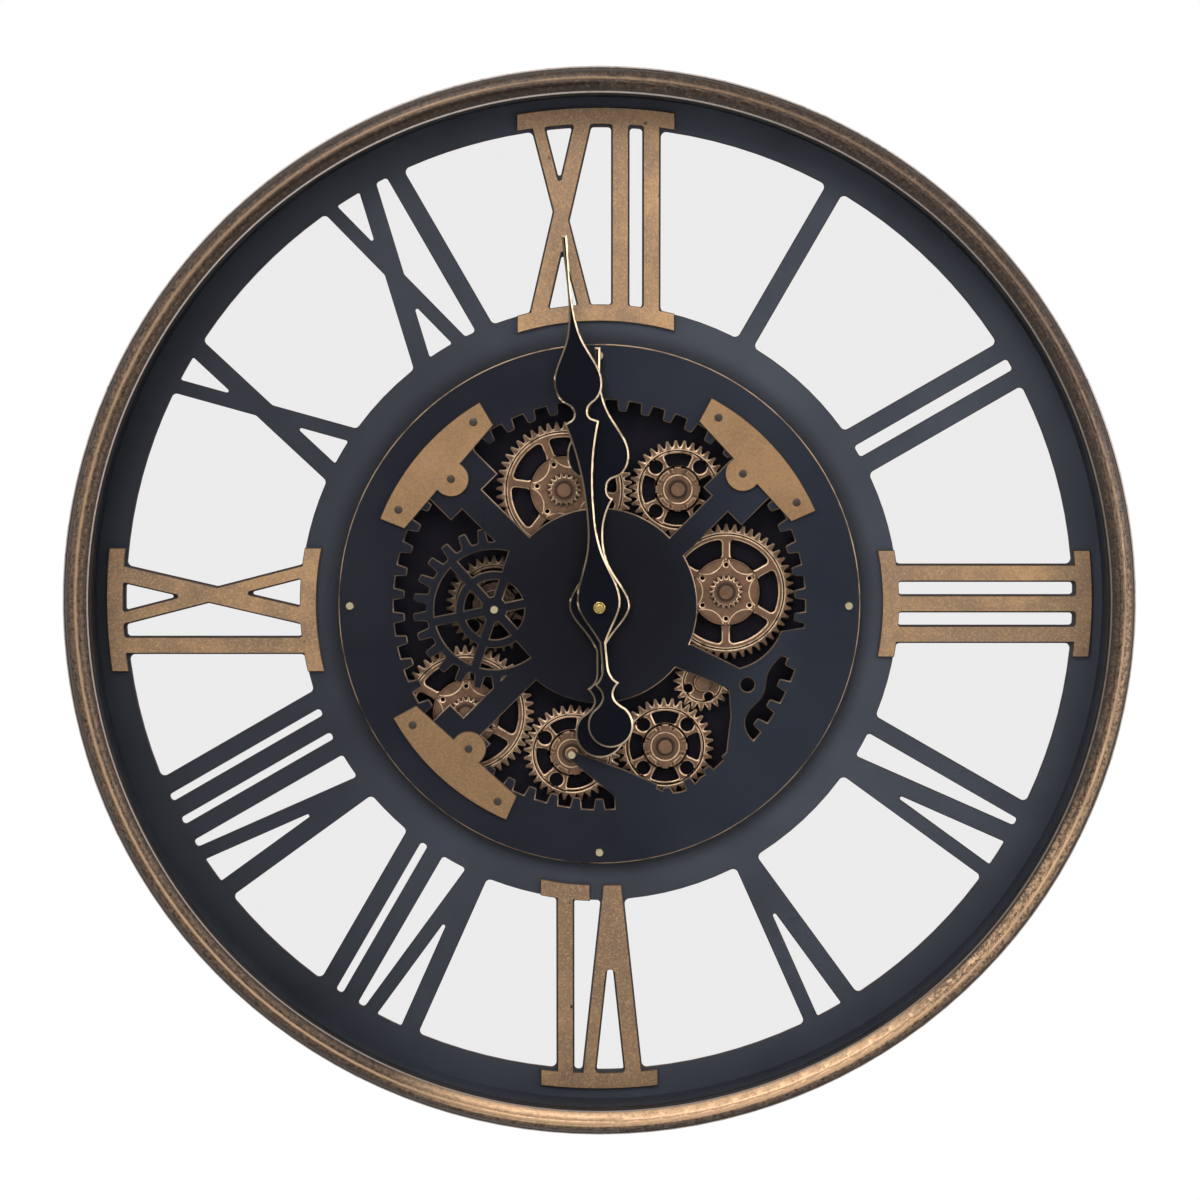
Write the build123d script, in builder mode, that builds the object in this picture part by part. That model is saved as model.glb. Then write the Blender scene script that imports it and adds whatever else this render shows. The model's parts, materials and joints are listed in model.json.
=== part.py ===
from build123d import *
import os
from math import cos, radians, sin, sqrt

# Skeleton wall clock with moving gears, in millimetres. +Z is up and the dial faces -Y.
# The origin is the middle of the keyhole that the clock hangs from, on the wall.
# Depths are measured forward from the wall, and turns clockwise from twelve o'clock.

# Clearances
running_fit = 0.05
play = 0.3
slip = 0.5

# Overall sizes
hoop_radius = 300.0
hoop_wall = 3.0
hang_drop = 110.0

# Thicknesses and distances, from the wall forward
hanger_sheet = 2.0
cover_sheet = 1.5
case_room = 20.5
plate_sheet = 2.0
pillar_height = 6.0
frame_sheet = 2.0
spacer_height = 2.0
centre_sheet = 2.0
corner_sheet = 1.5
hour_hand_room = 5.0
hand_sheet = 1.2
hand_gap = 2.8
liner_height = 20.0
glass_sheet = 3.0
gasket_sheet = 1.2
numeral_sheet = 2.0

cover_back = hanger_sheet
cover_front = cover_back + cover_sheet
plate_back = cover_front + case_room
plate_front = plate_back + plate_sheet
frame_back = plate_front + pillar_height
frame_front = frame_back + frame_sheet
centre_back = frame_front + spacer_height
centre_front = centre_back + centre_sheet
corner_front = centre_front + corner_sheet
hour_back = centre_front + hour_hand_room
minute_back = hour_back + hand_sheet + hand_gap
minute_front = minute_back + hand_sheet
glass_back = frame_front + liner_height
glass_front = glass_back + glass_sheet
lip_back = glass_front + gasket_sheet

# Hoop and bezel
lip_radius = 284.0
lip_rise = 3.0
crest_inset = 8.7
crest_rise = 6.4
bead_half = 1.2
edge_round = 1.6
quarter_sag = 0.3
cove_across = 0.42
cove_rise = 0.56
hollow_rise = 0.5
skirt_radius = hoop_radius - hoop_wall

# Liner, glass and gasket
liner_wall = 2.0
liner_flange = 1.5
liner_setback = 0.8
gasket_width = 9.0
inset_radius = skirt_radius - slip

# Dial frame and numerals
numerals = ("XII", "I", "II", "III", "IV", "V", "VI", "VII", "VIII", "IX", "X", "XI")
hour_step = 30.0
numeral_shifts = (-2.0, -3.0, -2.5, -1.0, 1.0, 1.0, 0.0, -1.5, -0.5, -2.5, 1.0, 2.0)
window_outer = 268.0
window_inner = 169.3
frame_opening = 128.0
window_corner = 3.0
bar_width = 10.4
wide_slot = 7.0
close_slot = 4.4
x_gaps = {"XII": 11.0, "IX": 6.6, "XI": 6.6}
x_width = 33.8
v_width = 34.6
v_foot = 13.6
thick_stroke = 10.8
thin_stroke = 8.3
slot_corner = close_slot / 2 - play
point_corner = 1.0
stroke_overrun = 6.0

# Raised numeral plates: hour, overhang of the serifs, corner radius of the pointed holes
raised_numerals = {
    "numeral_xii": (0, 8.5, 1.0),
    "numeral_iii": (3, 8.4, 1.0),
    "numeral_vi": (6, 9.6, 2.4),
    "numeral_ix": (9, 10.4, 1.0),
}
raised_trim = 1.3
serif_height = 9.4
serif_outer = 278.9
serif_inner = 160.2
raised_corner = 1.6
stud_radius = 1.5
stud_length = 5.0
stud_inset = 4.0
push_nut_radius = 3.5
push_nut_sheet = 0.8

# Clips that hold the dial frame in the hoop
clip_count = 8
clip_width = 18.0
clip_sheet = 2.0
clip_leg = 18.0
clip_foot = 14.0
clip_screw_radius = 1.5
clip_head_radius = 2.8
clip_head_height = 1.8
clip_bite = 1.6
clip_screw_drop = 12.0
clip_foot_inset = 9.0
clip_screw_depth = frame_back - clip_screw_drop
clip_foot_circle = skirt_radius - clip_foot_inset

# Centre plate
centre_radius = 147.5
channel_inner = 55.5
channel_outer = 116.3
ring_teeth = 54
ring_tooth_height = 6.0
ring_tooth_root = 7.2
ring_tooth_tip = 4.6
ring_tooth_round = 1.3
ring_tooth_bed = 1.0
pipe_hole = 5.0
dial_screw_circle = 141.0
dial_screw_turns = (0.0, 90.0, 180.0, 270.0)
dial_screw_radius = 1.25
dial_head_radius = 2.5
dial_head_height = 1.2
spacer_radius = 4.0
post_thread = 2.0

# Arms of the centre plate: turn, sideways shift, half width, then shoulder start, shift, half width
arms = (
    (-45.0, -8.2, 7.9, 93.3, -6.4, 18.6),
    (45.0, 7.1, 6.5, 88.8, 9.2, 15.3),
    (-135.0, 2.5, 7.1, 99.5, 4.2, 16.2),
)

# Fixed dummy gear cut in the centre plate
dummy_teeth = 25
dummy_tip = 46.0
dummy_root = 38.5
dummy_ring_outer = 34.0
dummy_ring_inner = 22.0
dummy_hub_outer = 17.0
dummy_hub_inner = 7.5
dummy_spokes = 6
dummy_spoke = 5.6
dummy_spoke_turn = 18.4
dummy_open_sectors = 4
dummy_tooth_share = 0.62
dummy_tip_share = 0.38
dummy_tooth_turn = -1.6
dummy_round = 1.1
dummy_drop = 2.5

# Solid web at the lower right of the centre plate, its finger, slot and round hole
web_points = {
    "hub": (30.0, -20.0),
    "upper_bend": (52.4, -21.8),
    "upper_end": (79.5, -35.4),
    "shoulder_bulge": (95.0, -26.5),
    "shoulder_top": (102.7, -14.4),
    "ring_step": (116.3, -12.2),
    "ring_upper": (124.1, -15.0),
    "ring_middle": (88.4, -88.4),
    "ring_lower": (8.7, -124.7),
    "finger_side": (8.5, -110.1),
    "finger_root": (7.9, -108.3),
    "finger_low": (-16.8, -88.1),
    "finger_high": (-15.9, -82.4),
    "finger_back": (14.1, -93.4),
    "bay_start": (32.9, -101.8),
    "bay_edge": (32.9, -104.2),
    "bay_bulge": (41.0, -106.6),
    "bay_end": (57.0, -98.0),
    "rise_low": (63.7, -94.2),
    "rise_bend": (71.6, -86.8),
    "rise_middle": (74.4, -63.1),
    "rise_top": (73.3, -47.2),
    "inner_bend": (42.2, -34.8),
}
finger_tip_radius = 2.9
web_slot_edge = (
    (103.0, -28.7),
    (98.7, -33.4),
    (95.5, -39.1),
    (94.5, -44.8),
    (92.7, -51.4),
    (85.1, -59.9),
    (82.7, -65.6),
    (83.3, -70.3),
    (86.1, -75.4),
)
web_slot_overrun = 1.2
web_hole_at = (83.9, -45.0)
web_hole_radius = 4.0

# Bronze corner plates and their rivets
corner_turns = {"upper_left": -49.3, "upper_right": 47.2, "lower_left": -137.6}
corner_outer = 133.2
corner_inner = 118.2
corner_half_turn = 19.0
corner_tab_circle = 110.1
corner_tab_radius = 10.0
corner_rivet_circle = 125.6
corner_rivet_turn = 15.0
corner_rivet_radius = 1.4
corner_rivet_head = 2.3
corner_rivet_rise = 0.6

# Gear train: an open chain of meshing gears
gear_module = 1.57
large_teeth = 48
middle_teeth = 34
small_teeth = 20
gear_tip_rise = 0.8
gear_tooth_height = 3.7
gear_tooth_root = 3.5
gear_tooth_tip = 1.2
gear_sheet = 2.4
collar_height = 2.3
gear_anchor = (71.8, 7.4)

# Directions from one gear of the chain to the next, anticlockwise from +X
right_to_upper_right = 115.2
upper_right_to_upper_left = 180.4
right_to_idler = -104.2
idler_to_driver = -120.0
driver_to_bottom = -175.8
bottom_to_lower_left = 159.0
lower_left_to_left = 75.3

# Turns of the spokes and holes of single gears, anticlockwise from +X
upright_turn = 90.0
upper_left_turn = 112.0
diagonal_turn = 45.0
bottom_turn = 60.0
idler_turn = 23.0

# Large gear: six windows, a rosette hub and a dummy pinion
large_arms = 3
large_window_outer = 29.8
large_window_inner = 19.3
large_spoke = 4.5
large_hub = 19.0
hub_rise = 0.6
petal_circle = 24.0
petal_radius = 10.5
petal_edge = 18.3
petal_sink = 0.4
rosette_hole_circle = 15.4
rosette_hole = 1.2
pinion_teeth = 18
pinion_tip = 9.6
pinion_root = 7.6
pinion_rise = 1.5
pinion_tooth_root = 1.9
pinion_tooth_tip = 0.9

# Middle gear: round holes, arc slots and a ring of raised segments
middle_holes = 4
middle_hole_circle = 17.6
middle_hole = 4.0
middle_slot_outer = 20.4
middle_slot_inner = 13.4
middle_slot_half = 24.0
middle_slot_corner = 1.2
middle_hub = 12.7
segment_outer = 12.2
segment_inner = 9.4
segment_half = 31.0
segment_rise = 0.5
segment_hole = 0.8
segment_hole_turn = 22.0
middle_recess = 7.7

# Small gear
small_holes = 4
small_hole_circle = 8.9
small_hole = 2.7
small_boss = 5.0

# Grooves that run round the gear faces
groove_width = 0.7
groove_depth = 0.4
groove_inset = 1.6

# Gear plate, pillars and arbors
plate_radius = 136.0
pillar_count = 6
pillar_circle = 132.0
pillar_radius = 3.0
pillar_end = 1.5
arbor_radius = 2.0
arbor_foot = 2.4
collar_radius = 4.0
button_radius = 3.8
button_height = 1.2

# Gear motor
motor_width = 40.0
motor_height = 30.0
motor_depth = 16.0
motor_corner = 4.0
motor_bearing = 8.0
motor_ear = 9.0
motor_ear_sheet = 2.0
motor_screw_radius = 1.3
motor_head_radius = 2.6
motor_head_height = 1.6
motor_bite = 1.6

# Quartz movement
movement_side = 56.0
movement_depth = 17.5
movement_wall = 1.4
movement_corner = 4.0
washer_sheet = 1.0
washer_radius = 9.0
bush_radius = 4.0
bush_reach = 8.0
nut_radius = 7.5
nut_height = 3.2
arbor_core = 1.6
arbor_seat = 1.2
pipe_radius = 2.6
pipe_bore = 1.65
pipe_seat = 2.2
cap_radius = 3.7
cap_height = 2.6
cap_bore_depth = 1.6

# Motion work between the hands
cannon_teeth = 12
minute_wheel_teeth = 36
minute_pinion_teeth = 10
hour_wheel_teeth = 40
motion_distance = 12.0
motion_sheet = 1.6
motion_shaft = 1.0
motion_tip_rise = 0.48
motion_tooth_height = 1.7
motion_tooth_root = 1.7
motion_tooth_tip = 0.5
motion_boss = 2.5
motion_module = 0.5
hour_module = 0.48
cannon_back = 9.0
cannon_front = 11.0
minute_wheel_back = 9.2
minute_pinion_front = 14.0
hour_wheel_back = 11.8
pivot_back = 15.0
pivot_front = 18.7
knob_radius = 6.0
knob_height = 2.7
knob_back = 2.4
knob_groove = 0.5
knob_grips = 18
board_size = (13.0, 20.0)
board_at = (19.0, 14.0)
board_sheet = 1.2
coil_radius = 2.4
coil_length = 12.0
coil_cheek = 5.4

# Cells and battery box
cell_radius = 7.25
cell_length = 50.5
cell_tip_radius = 2.7
cell_tip = 1.0
box_at = (-48.0, -82.0)
box_wall = 3.0
box_floor = 1.5
box_end_room = 2.4
cell_room = 0.25
lid_ledge = 1.5
lid_sheet = 1.3
contact_sheet = 0.5
contact_size = 9.0
contact_tip_radius = 2.5

# Slide switch and lead wires
switch_at = (-48.0, -118.0)
switch_size = (16.0, 8.0, 10.0)
slider_size = (5.0, 3.0)
slider_travel = 4.0
slider_sink = 3.4
slider_lip = 1.0
slider_proud = 1.2
wire_radius = 0.8
wire_depth = 10.5
wire_bend = 8.0

# Drum, rear cover and hanger
drum_radius = 150.0
drum_wall = 1.5
drum_flange = 7.0
drum_foot = 12.0
drum_flange_sheet = 1.5
drum_flange_circle = drum_radius + drum_flange / 2
cover_screw_circle = 142.5
case_screw_count = 6
case_screw_radius = 1.5
case_head_radius = 2.8
case_head_height = 1.4
service_margin = 2.0
hanger_size = (44.0, 34.0)
hanger_corner = 4.0
keyhole_radius = 5.0
keyhole_slot = 5.0
keyhole_reach = 11.0
hanger_rivet_spacing = 32.0
hanger_rivet_radius = 1.6
hanger_rivet_head = 3.2
hanger_room = 3.0
hanger_rivet_rise = 1.0

# Hands
minute_turn = -5.4
tail_join_turn = 45.0
barb_direction = (1.0, -0.6)
hour_turn = minute_turn / 12.0
minute_shape = {
    "tip": (1.5, 208.5),
    "flare": (1.35, 168.0),
    "swell": (5.4, 148.0),
    "spade": (13.4, 124.5),
    "shoulder": (9.0, 116.0),
    "neck": (3.9, 109.4),
    "barb": (9.6, 104.2),
    "taper": (4.4, 82.0),
    "waist": (2.3, 56.0),
    "swell_low": (5.2, 28.0),
    "hub": (11.8, 0.0),
    "hub_low": (6.4, -11.2),
    "stem": (1.8, -20.0),
    "stem_low": (1.8, -33.0),
    "tail_barb": (7.0, -43.4),
    "tail_neck": (3.2, -49.8),
    "tail": (12.8, -67.0),
}
hour_shape = {
    "tip": (1.6, 145.6),
    "flare": (1.4, 128.0),
    "swell": (6.2, 109.0),
    "spade": (17.3, 83.2),
    "shoulder": (11.6, 73.6),
    "neck": (4.8, 66.2),
    "barb": (8.0, 60.8),
    "taper": (3.6, 50.0),
    "waist": (2.4, 41.0),
    "swell_low": (8.0, 19.0),
    "hub": (17.2, 0.0),
    "hub_low": (8.4, -14.4),
    "stem": (1.9, -25.0),
    "stem_low": (1.9, -37.0),
    "tail_barb": (7.2, -46.7),
    "tail_neck": (3.5, -53.0),
    "tail": (14.1, -71.7),
}

dial_axis = Axis((0, 0, -hang_drop), (0, 1, 0))
section = Plane(origin=(0, 0, -hang_drop), x_dir=(1, 0, 0), z_dir=(0, 0, 1))
pieces = {}


# Helpers
def front(depth, x=0.0, z=0.0, turn=0.0):
    """Sketch plane facing the viewer: across to the right and outward at the given clockwise turn."""
    angle = radians(turn)
    return Plane(
        origin=(x, -depth, z - hang_drop),
        x_dir=(cos(angle), 0, -sin(angle)),
        z_dir=(0, -1, 0),
    )


def clockwise(radius, turn):
    """Point (x, z) about the dial axis at a radius and a clockwise turn from twelve."""
    return (radius * sin(radians(turn)), radius * cos(radians(turn)))


def rod(place, radius, start, end, bore=0.0, mode=Mode.ADD):
    """Round bar, or tube with a bore, along the viewing direction between two depths."""
    with BuildSketch(front(start, *place)) as disc:
        Circle(radius)
        if bore:
            Circle(bore, mode=Mode.SUBTRACT)
    extrude(disc.sketch, amount=end - start, mode=mode)


def outward(depth, radius, turn):
    """Sketch plane on the dial's rim, facing straight out at a clockwise turn."""
    x, z = clockwise(radius, turn)
    across = (cos(radians(turn)), 0, -sin(radians(turn)))
    ahead = (sin(radians(turn)), 0, cos(radians(turn)))
    return Plane(origin=(x, -depth, z - hang_drop), x_dir=across, z_dir=ahead)


def spoke(depth, turn, radius, start, end, mode=Mode.ADD):
    """Round bar that points straight out from the dial axis between two radii."""
    with BuildSketch(outward(depth, start, turn)) as disc:
        Circle(radius)
    extrude(disc.sketch, amount=end - start, mode=mode)


def clip_turn(clip):
    """Clockwise turn of a frame clip."""
    return 360.0 * (clip + 0.5) / clip_count


def case_turn(screw):
    """Clockwise turn of a case screw."""
    return 360.0 * screw / case_screw_count


def pillar_place(pillar):
    """Place (x, z) of a pillar of the gear plate."""
    return clockwise(pillar_circle, 360.0 * (pillar + 0.5) / pillar_count)


def bar(place, depth, radius, length, direction, mode=Mode.ADD):
    """Round bar that starts at a place and a depth and runs along a direction."""
    with BuildSketch(Plane(origin=(place[0], -depth, place[1] - hang_drop), z_dir=direction)) as disc:
        Circle(radius)
    extrude(disc.sketch, amount=length, mode=mode)


def corner_rivet_places(turn):
    """Places (x, z) of the three rivets of a corner plate."""
    return [
        clockwise(corner_rivet_circle, turn - corner_rivet_turn),
        clockwise(corner_rivet_circle, turn + corner_rivet_turn),
        clockwise(corner_tab_circle, turn),
    ]


def block(place, size, start, end, corner=0.0, mode=Mode.ADD, turn=0.0):
    """Flat-faced block, with rounded corners if given, between two depths."""
    with BuildSketch(front(start, *place, turn=turn)) as outline:
        if corner:
            RectangleRounded(*size, corner)
        else:
            Rectangle(*size)
    extrude(outline.sketch, amount=end - start, mode=mode)


def toothed_points(count, root, tip, root_width, tip_width, turn=0.0):
    """Outline of a toothed wheel, counted anticlockwise from the +X direction."""
    points = []
    for tooth in range(count):
        middle = radians(turn + 360.0 * tooth / count)
        for radius, side in ((root, -root_width), (tip, -tip_width), (tip, tip_width), (root, root_width)):
            angle = middle + side / 2 / radius
            points.append((radius * cos(angle), radius * sin(angle)))
    return points


def wedge(low, high, middle, half):
    """Corner points of a sector between two radii, wide enough to be trimmed by circles."""
    reach = high / cos(radians(half))
    corners = ((low, -half), (reach, -half), (reach, half), (low, half))
    return [(r * cos(radians(middle + a)), r * sin(radians(middle + a))) for r, a in corners]


# Hoop with its moulded bezel
with BuildPart() as rim_hoop:
    crest = hoop_radius - crest_inset
    with BuildSketch(section):
        with BuildLine():
            Polyline(
                (lip_radius, -lip_back - lip_rise + bead_half / 2),
                (lip_radius, -lip_back),
                (skirt_radius, -lip_back),
                (skirt_radius, 0),
                (hoop_radius, 0),
                (hoop_radius, -lip_back + edge_round),
            )
            ThreePointArc(
                (hoop_radius, -lip_back + edge_round),
                (hoop_radius - edge_round * quarter_sag, -lip_back + edge_round * quarter_sag),
                (hoop_radius - edge_round, -lip_back),
            )
            ThreePointArc(
                (hoop_radius - edge_round, -lip_back),
                (hoop_radius - crest_inset * cove_across, -lip_back - crest_rise * cove_rise),
                (crest + bead_half, -lip_back - crest_rise + bead_half),
            )
            ThreePointArc(
                (crest + bead_half, -lip_back - crest_rise + bead_half),
                (crest, -lip_back - crest_rise),
                (crest - bead_half, -lip_back - crest_rise + bead_half),
            )
            ThreePointArc(
                (crest - bead_half, -lip_back - crest_rise + bead_half),
                ((crest + lip_radius) / 2, -lip_back - lip_rise - hollow_rise),
                (lip_radius + bead_half, -lip_back - lip_rise),
            )
            ThreePointArc(
                (lip_radius + bead_half, -lip_back - lip_rise),
                (lip_radius + bead_half * quarter_sag, -lip_back - lip_rise),
                (lip_radius, -lip_back - lip_rise + bead_half / 2),
            )
        make_face()
    revolve(axis=dial_axis)
    for clip in range(clip_count):
        bite_end = skirt_radius + clip_bite
        spoke(clip_screw_depth, clip_turn(clip), clip_screw_radius, inset_radius, bite_end, Mode.SUBTRACT)
pieces["rim_hoop"] = rim_hoop

# Black inner wall, glass and gasket
with BuildPart() as rim_liner:
    liner_radius = lip_radius + liner_setback
    rod((0, 0), liner_radius + liner_wall, frame_front, glass_back, bore=liner_radius)
    rod((0, 0), inset_radius, frame_front, frame_front + liner_flange, bore=liner_radius)
pieces["rim_liner"] = rim_liner

with BuildPart() as front_glass:
    rod((0, 0), inset_radius, glass_back, glass_front)
pieces["front_glass"] = front_glass

with BuildPart() as glass_gasket:
    rod((0, 0), inset_radius, glass_front, lip_back, bore=inset_radius - gasket_width)
pieces["glass_gasket"] = glass_gasket


# Numerals
def letter_spans(hour, trim=0.0):
    """Letters of a numeral with their left and right edges, about the line of its hour."""
    text = numerals[hour]
    widths = {"I": bar_width, "V": v_width, "X": x_width}
    gaps = []
    for pair in zip(text, text[1:]):
        if "X" in pair:
            gaps.append(x_gaps[text])
        elif "V" in text:
            gaps.append(close_slot)
        else:
            gaps.append(wide_slot)
    left = numeral_shifts[hour] - (sum(widths[letter] for letter in text) + sum(gaps)) / 2
    spans = []
    for letter, gap in zip(text, gaps + [0.0]):
        right = left + widths[letter]
        spans.append((letter, left + trim / 2, right - trim / 2))
        left = right + gap
    return spans


def stroke_corners(hour, low, high, trim=0.0):
    """Four corners of each stroke of a numeral, as across and outward, between two heights."""
    thick = thick_stroke - trim
    thin = thin_stroke - trim
    foot = (v_foot - trim) / 2
    strokes = []
    for letter, left, right in letter_spans(hour, trim):
        middle = (left + right) / 2
        if letter == "I":
            strokes.append((left, left, right - left))
        elif letter == "V":
            strokes.append((middle - foot, left, thick))
            strokes.append((middle + foot - thin, right - thin, thin))
        else:
            strokes.append((left, right - thick, thick))
            strokes.append((right - thin, left, thin))
    corners = []
    for inner, outer, width in strokes:
        lean = (outer - inner) / (window_outer - window_inner)
        near = inner + lean * (low - window_inner)
        far = inner + lean * (high - window_inner)
        corners.append(((near, low), (near + width, low), (far + width, high), (far, high)))
    return corners


def raised_serifs(hour, overhang):
    """Left edge, right edge and outer radius of a raised numeral's two serifs."""
    spans = letter_spans(hour, raised_trim)
    footed = [span for span in spans if span[0] != "V"]
    return (
        (spans[0][1] - overhang, spans[-1][2] + overhang, serif_outer),
        (footed[0][1] - overhang, footed[-1][2] + overhang, serif_inner + serif_height),
    )


def stud_places(hour, overhang):
    """Places (x, z) of the studs behind the ends of a raised numeral's serifs."""
    turn = radians(hour * hour_step)
    places = []
    for left, right, top in raised_serifs(hour, overhang):
        for across in (left + stud_inset, right - stud_inset):
            rise = sqrt((top - serif_height / 2) ** 2 - across**2)
            places.append((across * cos(turn) + rise * sin(turn), rise * cos(turn) - across * sin(turn)))
    return places


all_studs = []
for hour, overhang, point in raised_numerals.values():
    all_studs += stud_places(hour, overhang)

# Window openings of the dial frame, between the numerals' strokes
with BuildSketch() as dial_windows:
    Circle(window_outer)
    Circle(window_inner, mode=Mode.SUBTRACT)
    for hour in range(len(numerals)):
        for corners in stroke_corners(hour, window_inner / 2, window_outer + stroke_overrun):
            Polygon(*corners, rotation=-hour * hour_step, align=None, mode=Mode.SUBTRACT)
    wide_area = (window_outer - window_inner) * x_width
    fillet(dial_windows.faces().filter_by(lambda face: len(face.vertices()) == 3).vertices(), point_corner)
    fillet(dial_windows.faces().filter_by(lambda face: face.area > wide_area).vertices(), window_corner)
    narrow = dial_windows.faces().filter_by(lambda face: face.area <= wide_area)
    fillet(narrow.filter_by(lambda face: len(face.vertices()) in (4, 5)).vertices(), slot_corner)

# Dial frame: one cut sheet with the plain numerals left standing between its windows
with BuildPart() as dial_frame:
    with BuildSketch(front(frame_back)):
        Circle(inset_radius)
        Circle(frame_opening, mode=Mode.SUBTRACT)
        add(dial_windows.sketch, mode=Mode.SUBTRACT)
    extrude(amount=frame_sheet)
    for place in all_studs:
        rod(place, stud_radius, frame_back, frame_front, mode=Mode.SUBTRACT)
    for turn in dial_screw_turns:
        place = clockwise(dial_screw_circle, turn)
        rod(place, dial_screw_radius, frame_back, frame_front, mode=Mode.SUBTRACT)
    for pillar in range(pillar_count):
        rod(pillar_place(pillar), pillar_end, frame_back, frame_front, mode=Mode.SUBTRACT)
    for clip in range(clip_count):
        place = clockwise(clip_foot_circle, clip_turn(clip))
        rod(place, clip_screw_radius, frame_back, frame_back + clip_bite, mode=Mode.SUBTRACT)
    for screw in range(case_screw_count):
        place = clockwise(drum_flange_circle, case_turn(screw))
        rod(place, case_screw_radius, frame_back, frame_back + clip_bite, mode=Mode.SUBTRACT)
pieces["dial_frame"] = dial_frame

# Raised bronze numerals with their serifs
for label, (hour, overhang, point) in raised_numerals.items():
    with BuildPart() as numeral_plate:
        with BuildSketch(front(frame_front, turn=hour * hour_step)) as numeral_face:
            for corners in stroke_corners(hour, serif_inner, serif_outer - serif_height / 2, raised_trim):
                Polygon(*corners, align=None)
            for left, right, top in raised_serifs(hour, overhang):
                middle = (left + right) / 2
                low = top - serif_height
                with BuildLine():
                    top_arc = ThreePointArc(*[(u, sqrt(top**2 - u**2)) for u in (left, middle, right)])
                    low_arc = ThreePointArc(*[(u, sqrt(low**2 - u**2)) for u in (left, middle, right)])
                    Line(top_arc @ 0, low_arc @ 0)
                    Line(top_arc @ 1, low_arc @ 1)
                make_face()
            holes = numeral_face.face().inner_wires()
            fillet(holes.filter_by(lambda hole: len(hole.vertices()) > 3).vertices(), raised_corner)
            holes = numeral_face.face().inner_wires()
            fillet(holes.filter_by(lambda hole: len(hole.vertices()) == 3).vertices(), point)
        extrude(amount=numeral_sheet)
    pieces[label] = numeral_plate

with BuildPart() as numeral_studs:
    for place in all_studs:
        rod(place, stud_radius, frame_front - stud_length, frame_front)
pieces["numeral_studs"] = numeral_studs

with BuildPart() as stud_push_nuts:
    for place in all_studs:
        rod(place, push_nut_radius, frame_back - push_nut_sheet, frame_back, bore=stud_radius)
pieces["stud_push_nuts"] = stud_push_nuts

# Angle clips that hold the frame, liner and glass in the hoop
with BuildPart() as frame_clips:
    for clip in range(clip_count):
        turn = clip_turn(clip)
        foot_at = clockwise(skirt_radius - clip_foot / 2, turn)
        leg_at = clockwise(skirt_radius - clip_sheet / 2 - slip / 2, turn)
        block(foot_at, (clip_width, clip_foot - slip), frame_back - clip_sheet, frame_back, turn=turn)
        block(leg_at, (clip_width, clip_sheet), frame_back - clip_leg, frame_back, turn=turn)
    for clip in range(clip_count):
        turn = clip_turn(clip)
        leg_face = skirt_radius - clip_foot
        spoke(clip_screw_depth, turn, clip_screw_radius, leg_face, skirt_radius, Mode.SUBTRACT)
        place = clockwise(clip_foot_circle, turn)
        rod(place, clip_screw_radius, frame_back - clip_sheet, frame_back, mode=Mode.SUBTRACT)
pieces["frame_clips"] = frame_clips

with BuildPart() as frame_clip_screws:
    for clip in range(clip_count):
        turn = clip_turn(clip)
        seat = skirt_radius - clip_sheet - slip / 2
        spoke(clip_screw_depth, turn, clip_head_radius, seat - clip_head_height, seat)
        spoke(clip_screw_depth, turn, clip_screw_radius, seat, skirt_radius + clip_bite)
        place = clockwise(clip_foot_circle, turn)
        foot = frame_back - clip_sheet
        rod(place, clip_head_radius, foot - clip_head_height, foot)
        rod(place, clip_screw_radius, foot, frame_back + clip_bite)
pieces["frame_clip_screws"] = frame_clip_screws


# Gear train: places and tooth phases follow the chain from the anchor gear
def chain_gear(start, teeth, direction):
    """Next gear of the chain: place, teeth and tooth phase, meshing with the one before it."""
    place, start_teeth, phase = start
    distance = gear_module * (start_teeth + teeth) / 2
    x = place[0] + distance * cos(radians(direction))
    z = place[1] + distance * sin(radians(direction))
    share = (direction - phase) * start_teeth / 360.0
    return ((x, z), teeth, direction + 180.0 - (0.5 - share) * 360.0 / teeth)


gear_right = (gear_anchor, large_teeth, 0.0)
gear_upper_right = chain_gear(gear_right, middle_teeth, right_to_upper_right)
gear_upper_left = chain_gear(gear_upper_right, large_teeth, upper_right_to_upper_left)
gear_idler = chain_gear(gear_right, small_teeth, right_to_idler)
gear_driver = chain_gear(gear_idler, middle_teeth, idler_to_driver)
gear_bottom = chain_gear(gear_driver, middle_teeth, driver_to_bottom)
gear_lower_left = chain_gear(gear_bottom, large_teeth, bottom_to_lower_left)
gear_left = chain_gear(gear_lower_left, middle_teeth, lower_left_to_left)

motor_screw_places = [
    (gear_driver[0][0] + side * (motor_width + motor_ear) / 2, gear_driver[0][1]) for side in (-1, 1)
]

gear_back = plate_front + collar_height + play
gear_front = gear_back + gear_sheet
hub_front = gear_front + hub_rise
button_back = hub_front + pinion_rise + play
button_front = button_back + button_height


def gear_blank(gear):
    """Toothed outline of a gear, added to the sketch that is open."""
    tip = gear_module * gear[1] / 2 + gear_tip_rise
    root = tip - gear_tooth_height
    Polygon(*toothed_points(gear[1], root, tip, gear_tooth_root, gear_tooth_tip, gear[2]), align=None)


def face_groove(gear):
    """Shallow groove round a gear's face, just inside the roots of its teeth."""
    radius = gear_module * gear[1] / 2 + gear_tip_rise - gear_tooth_height - groove_inset
    bore = radius - groove_width
    rod(gear[0], radius, gear_front - groove_depth, gear_front, bore=bore, mode=Mode.SUBTRACT)


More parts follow.
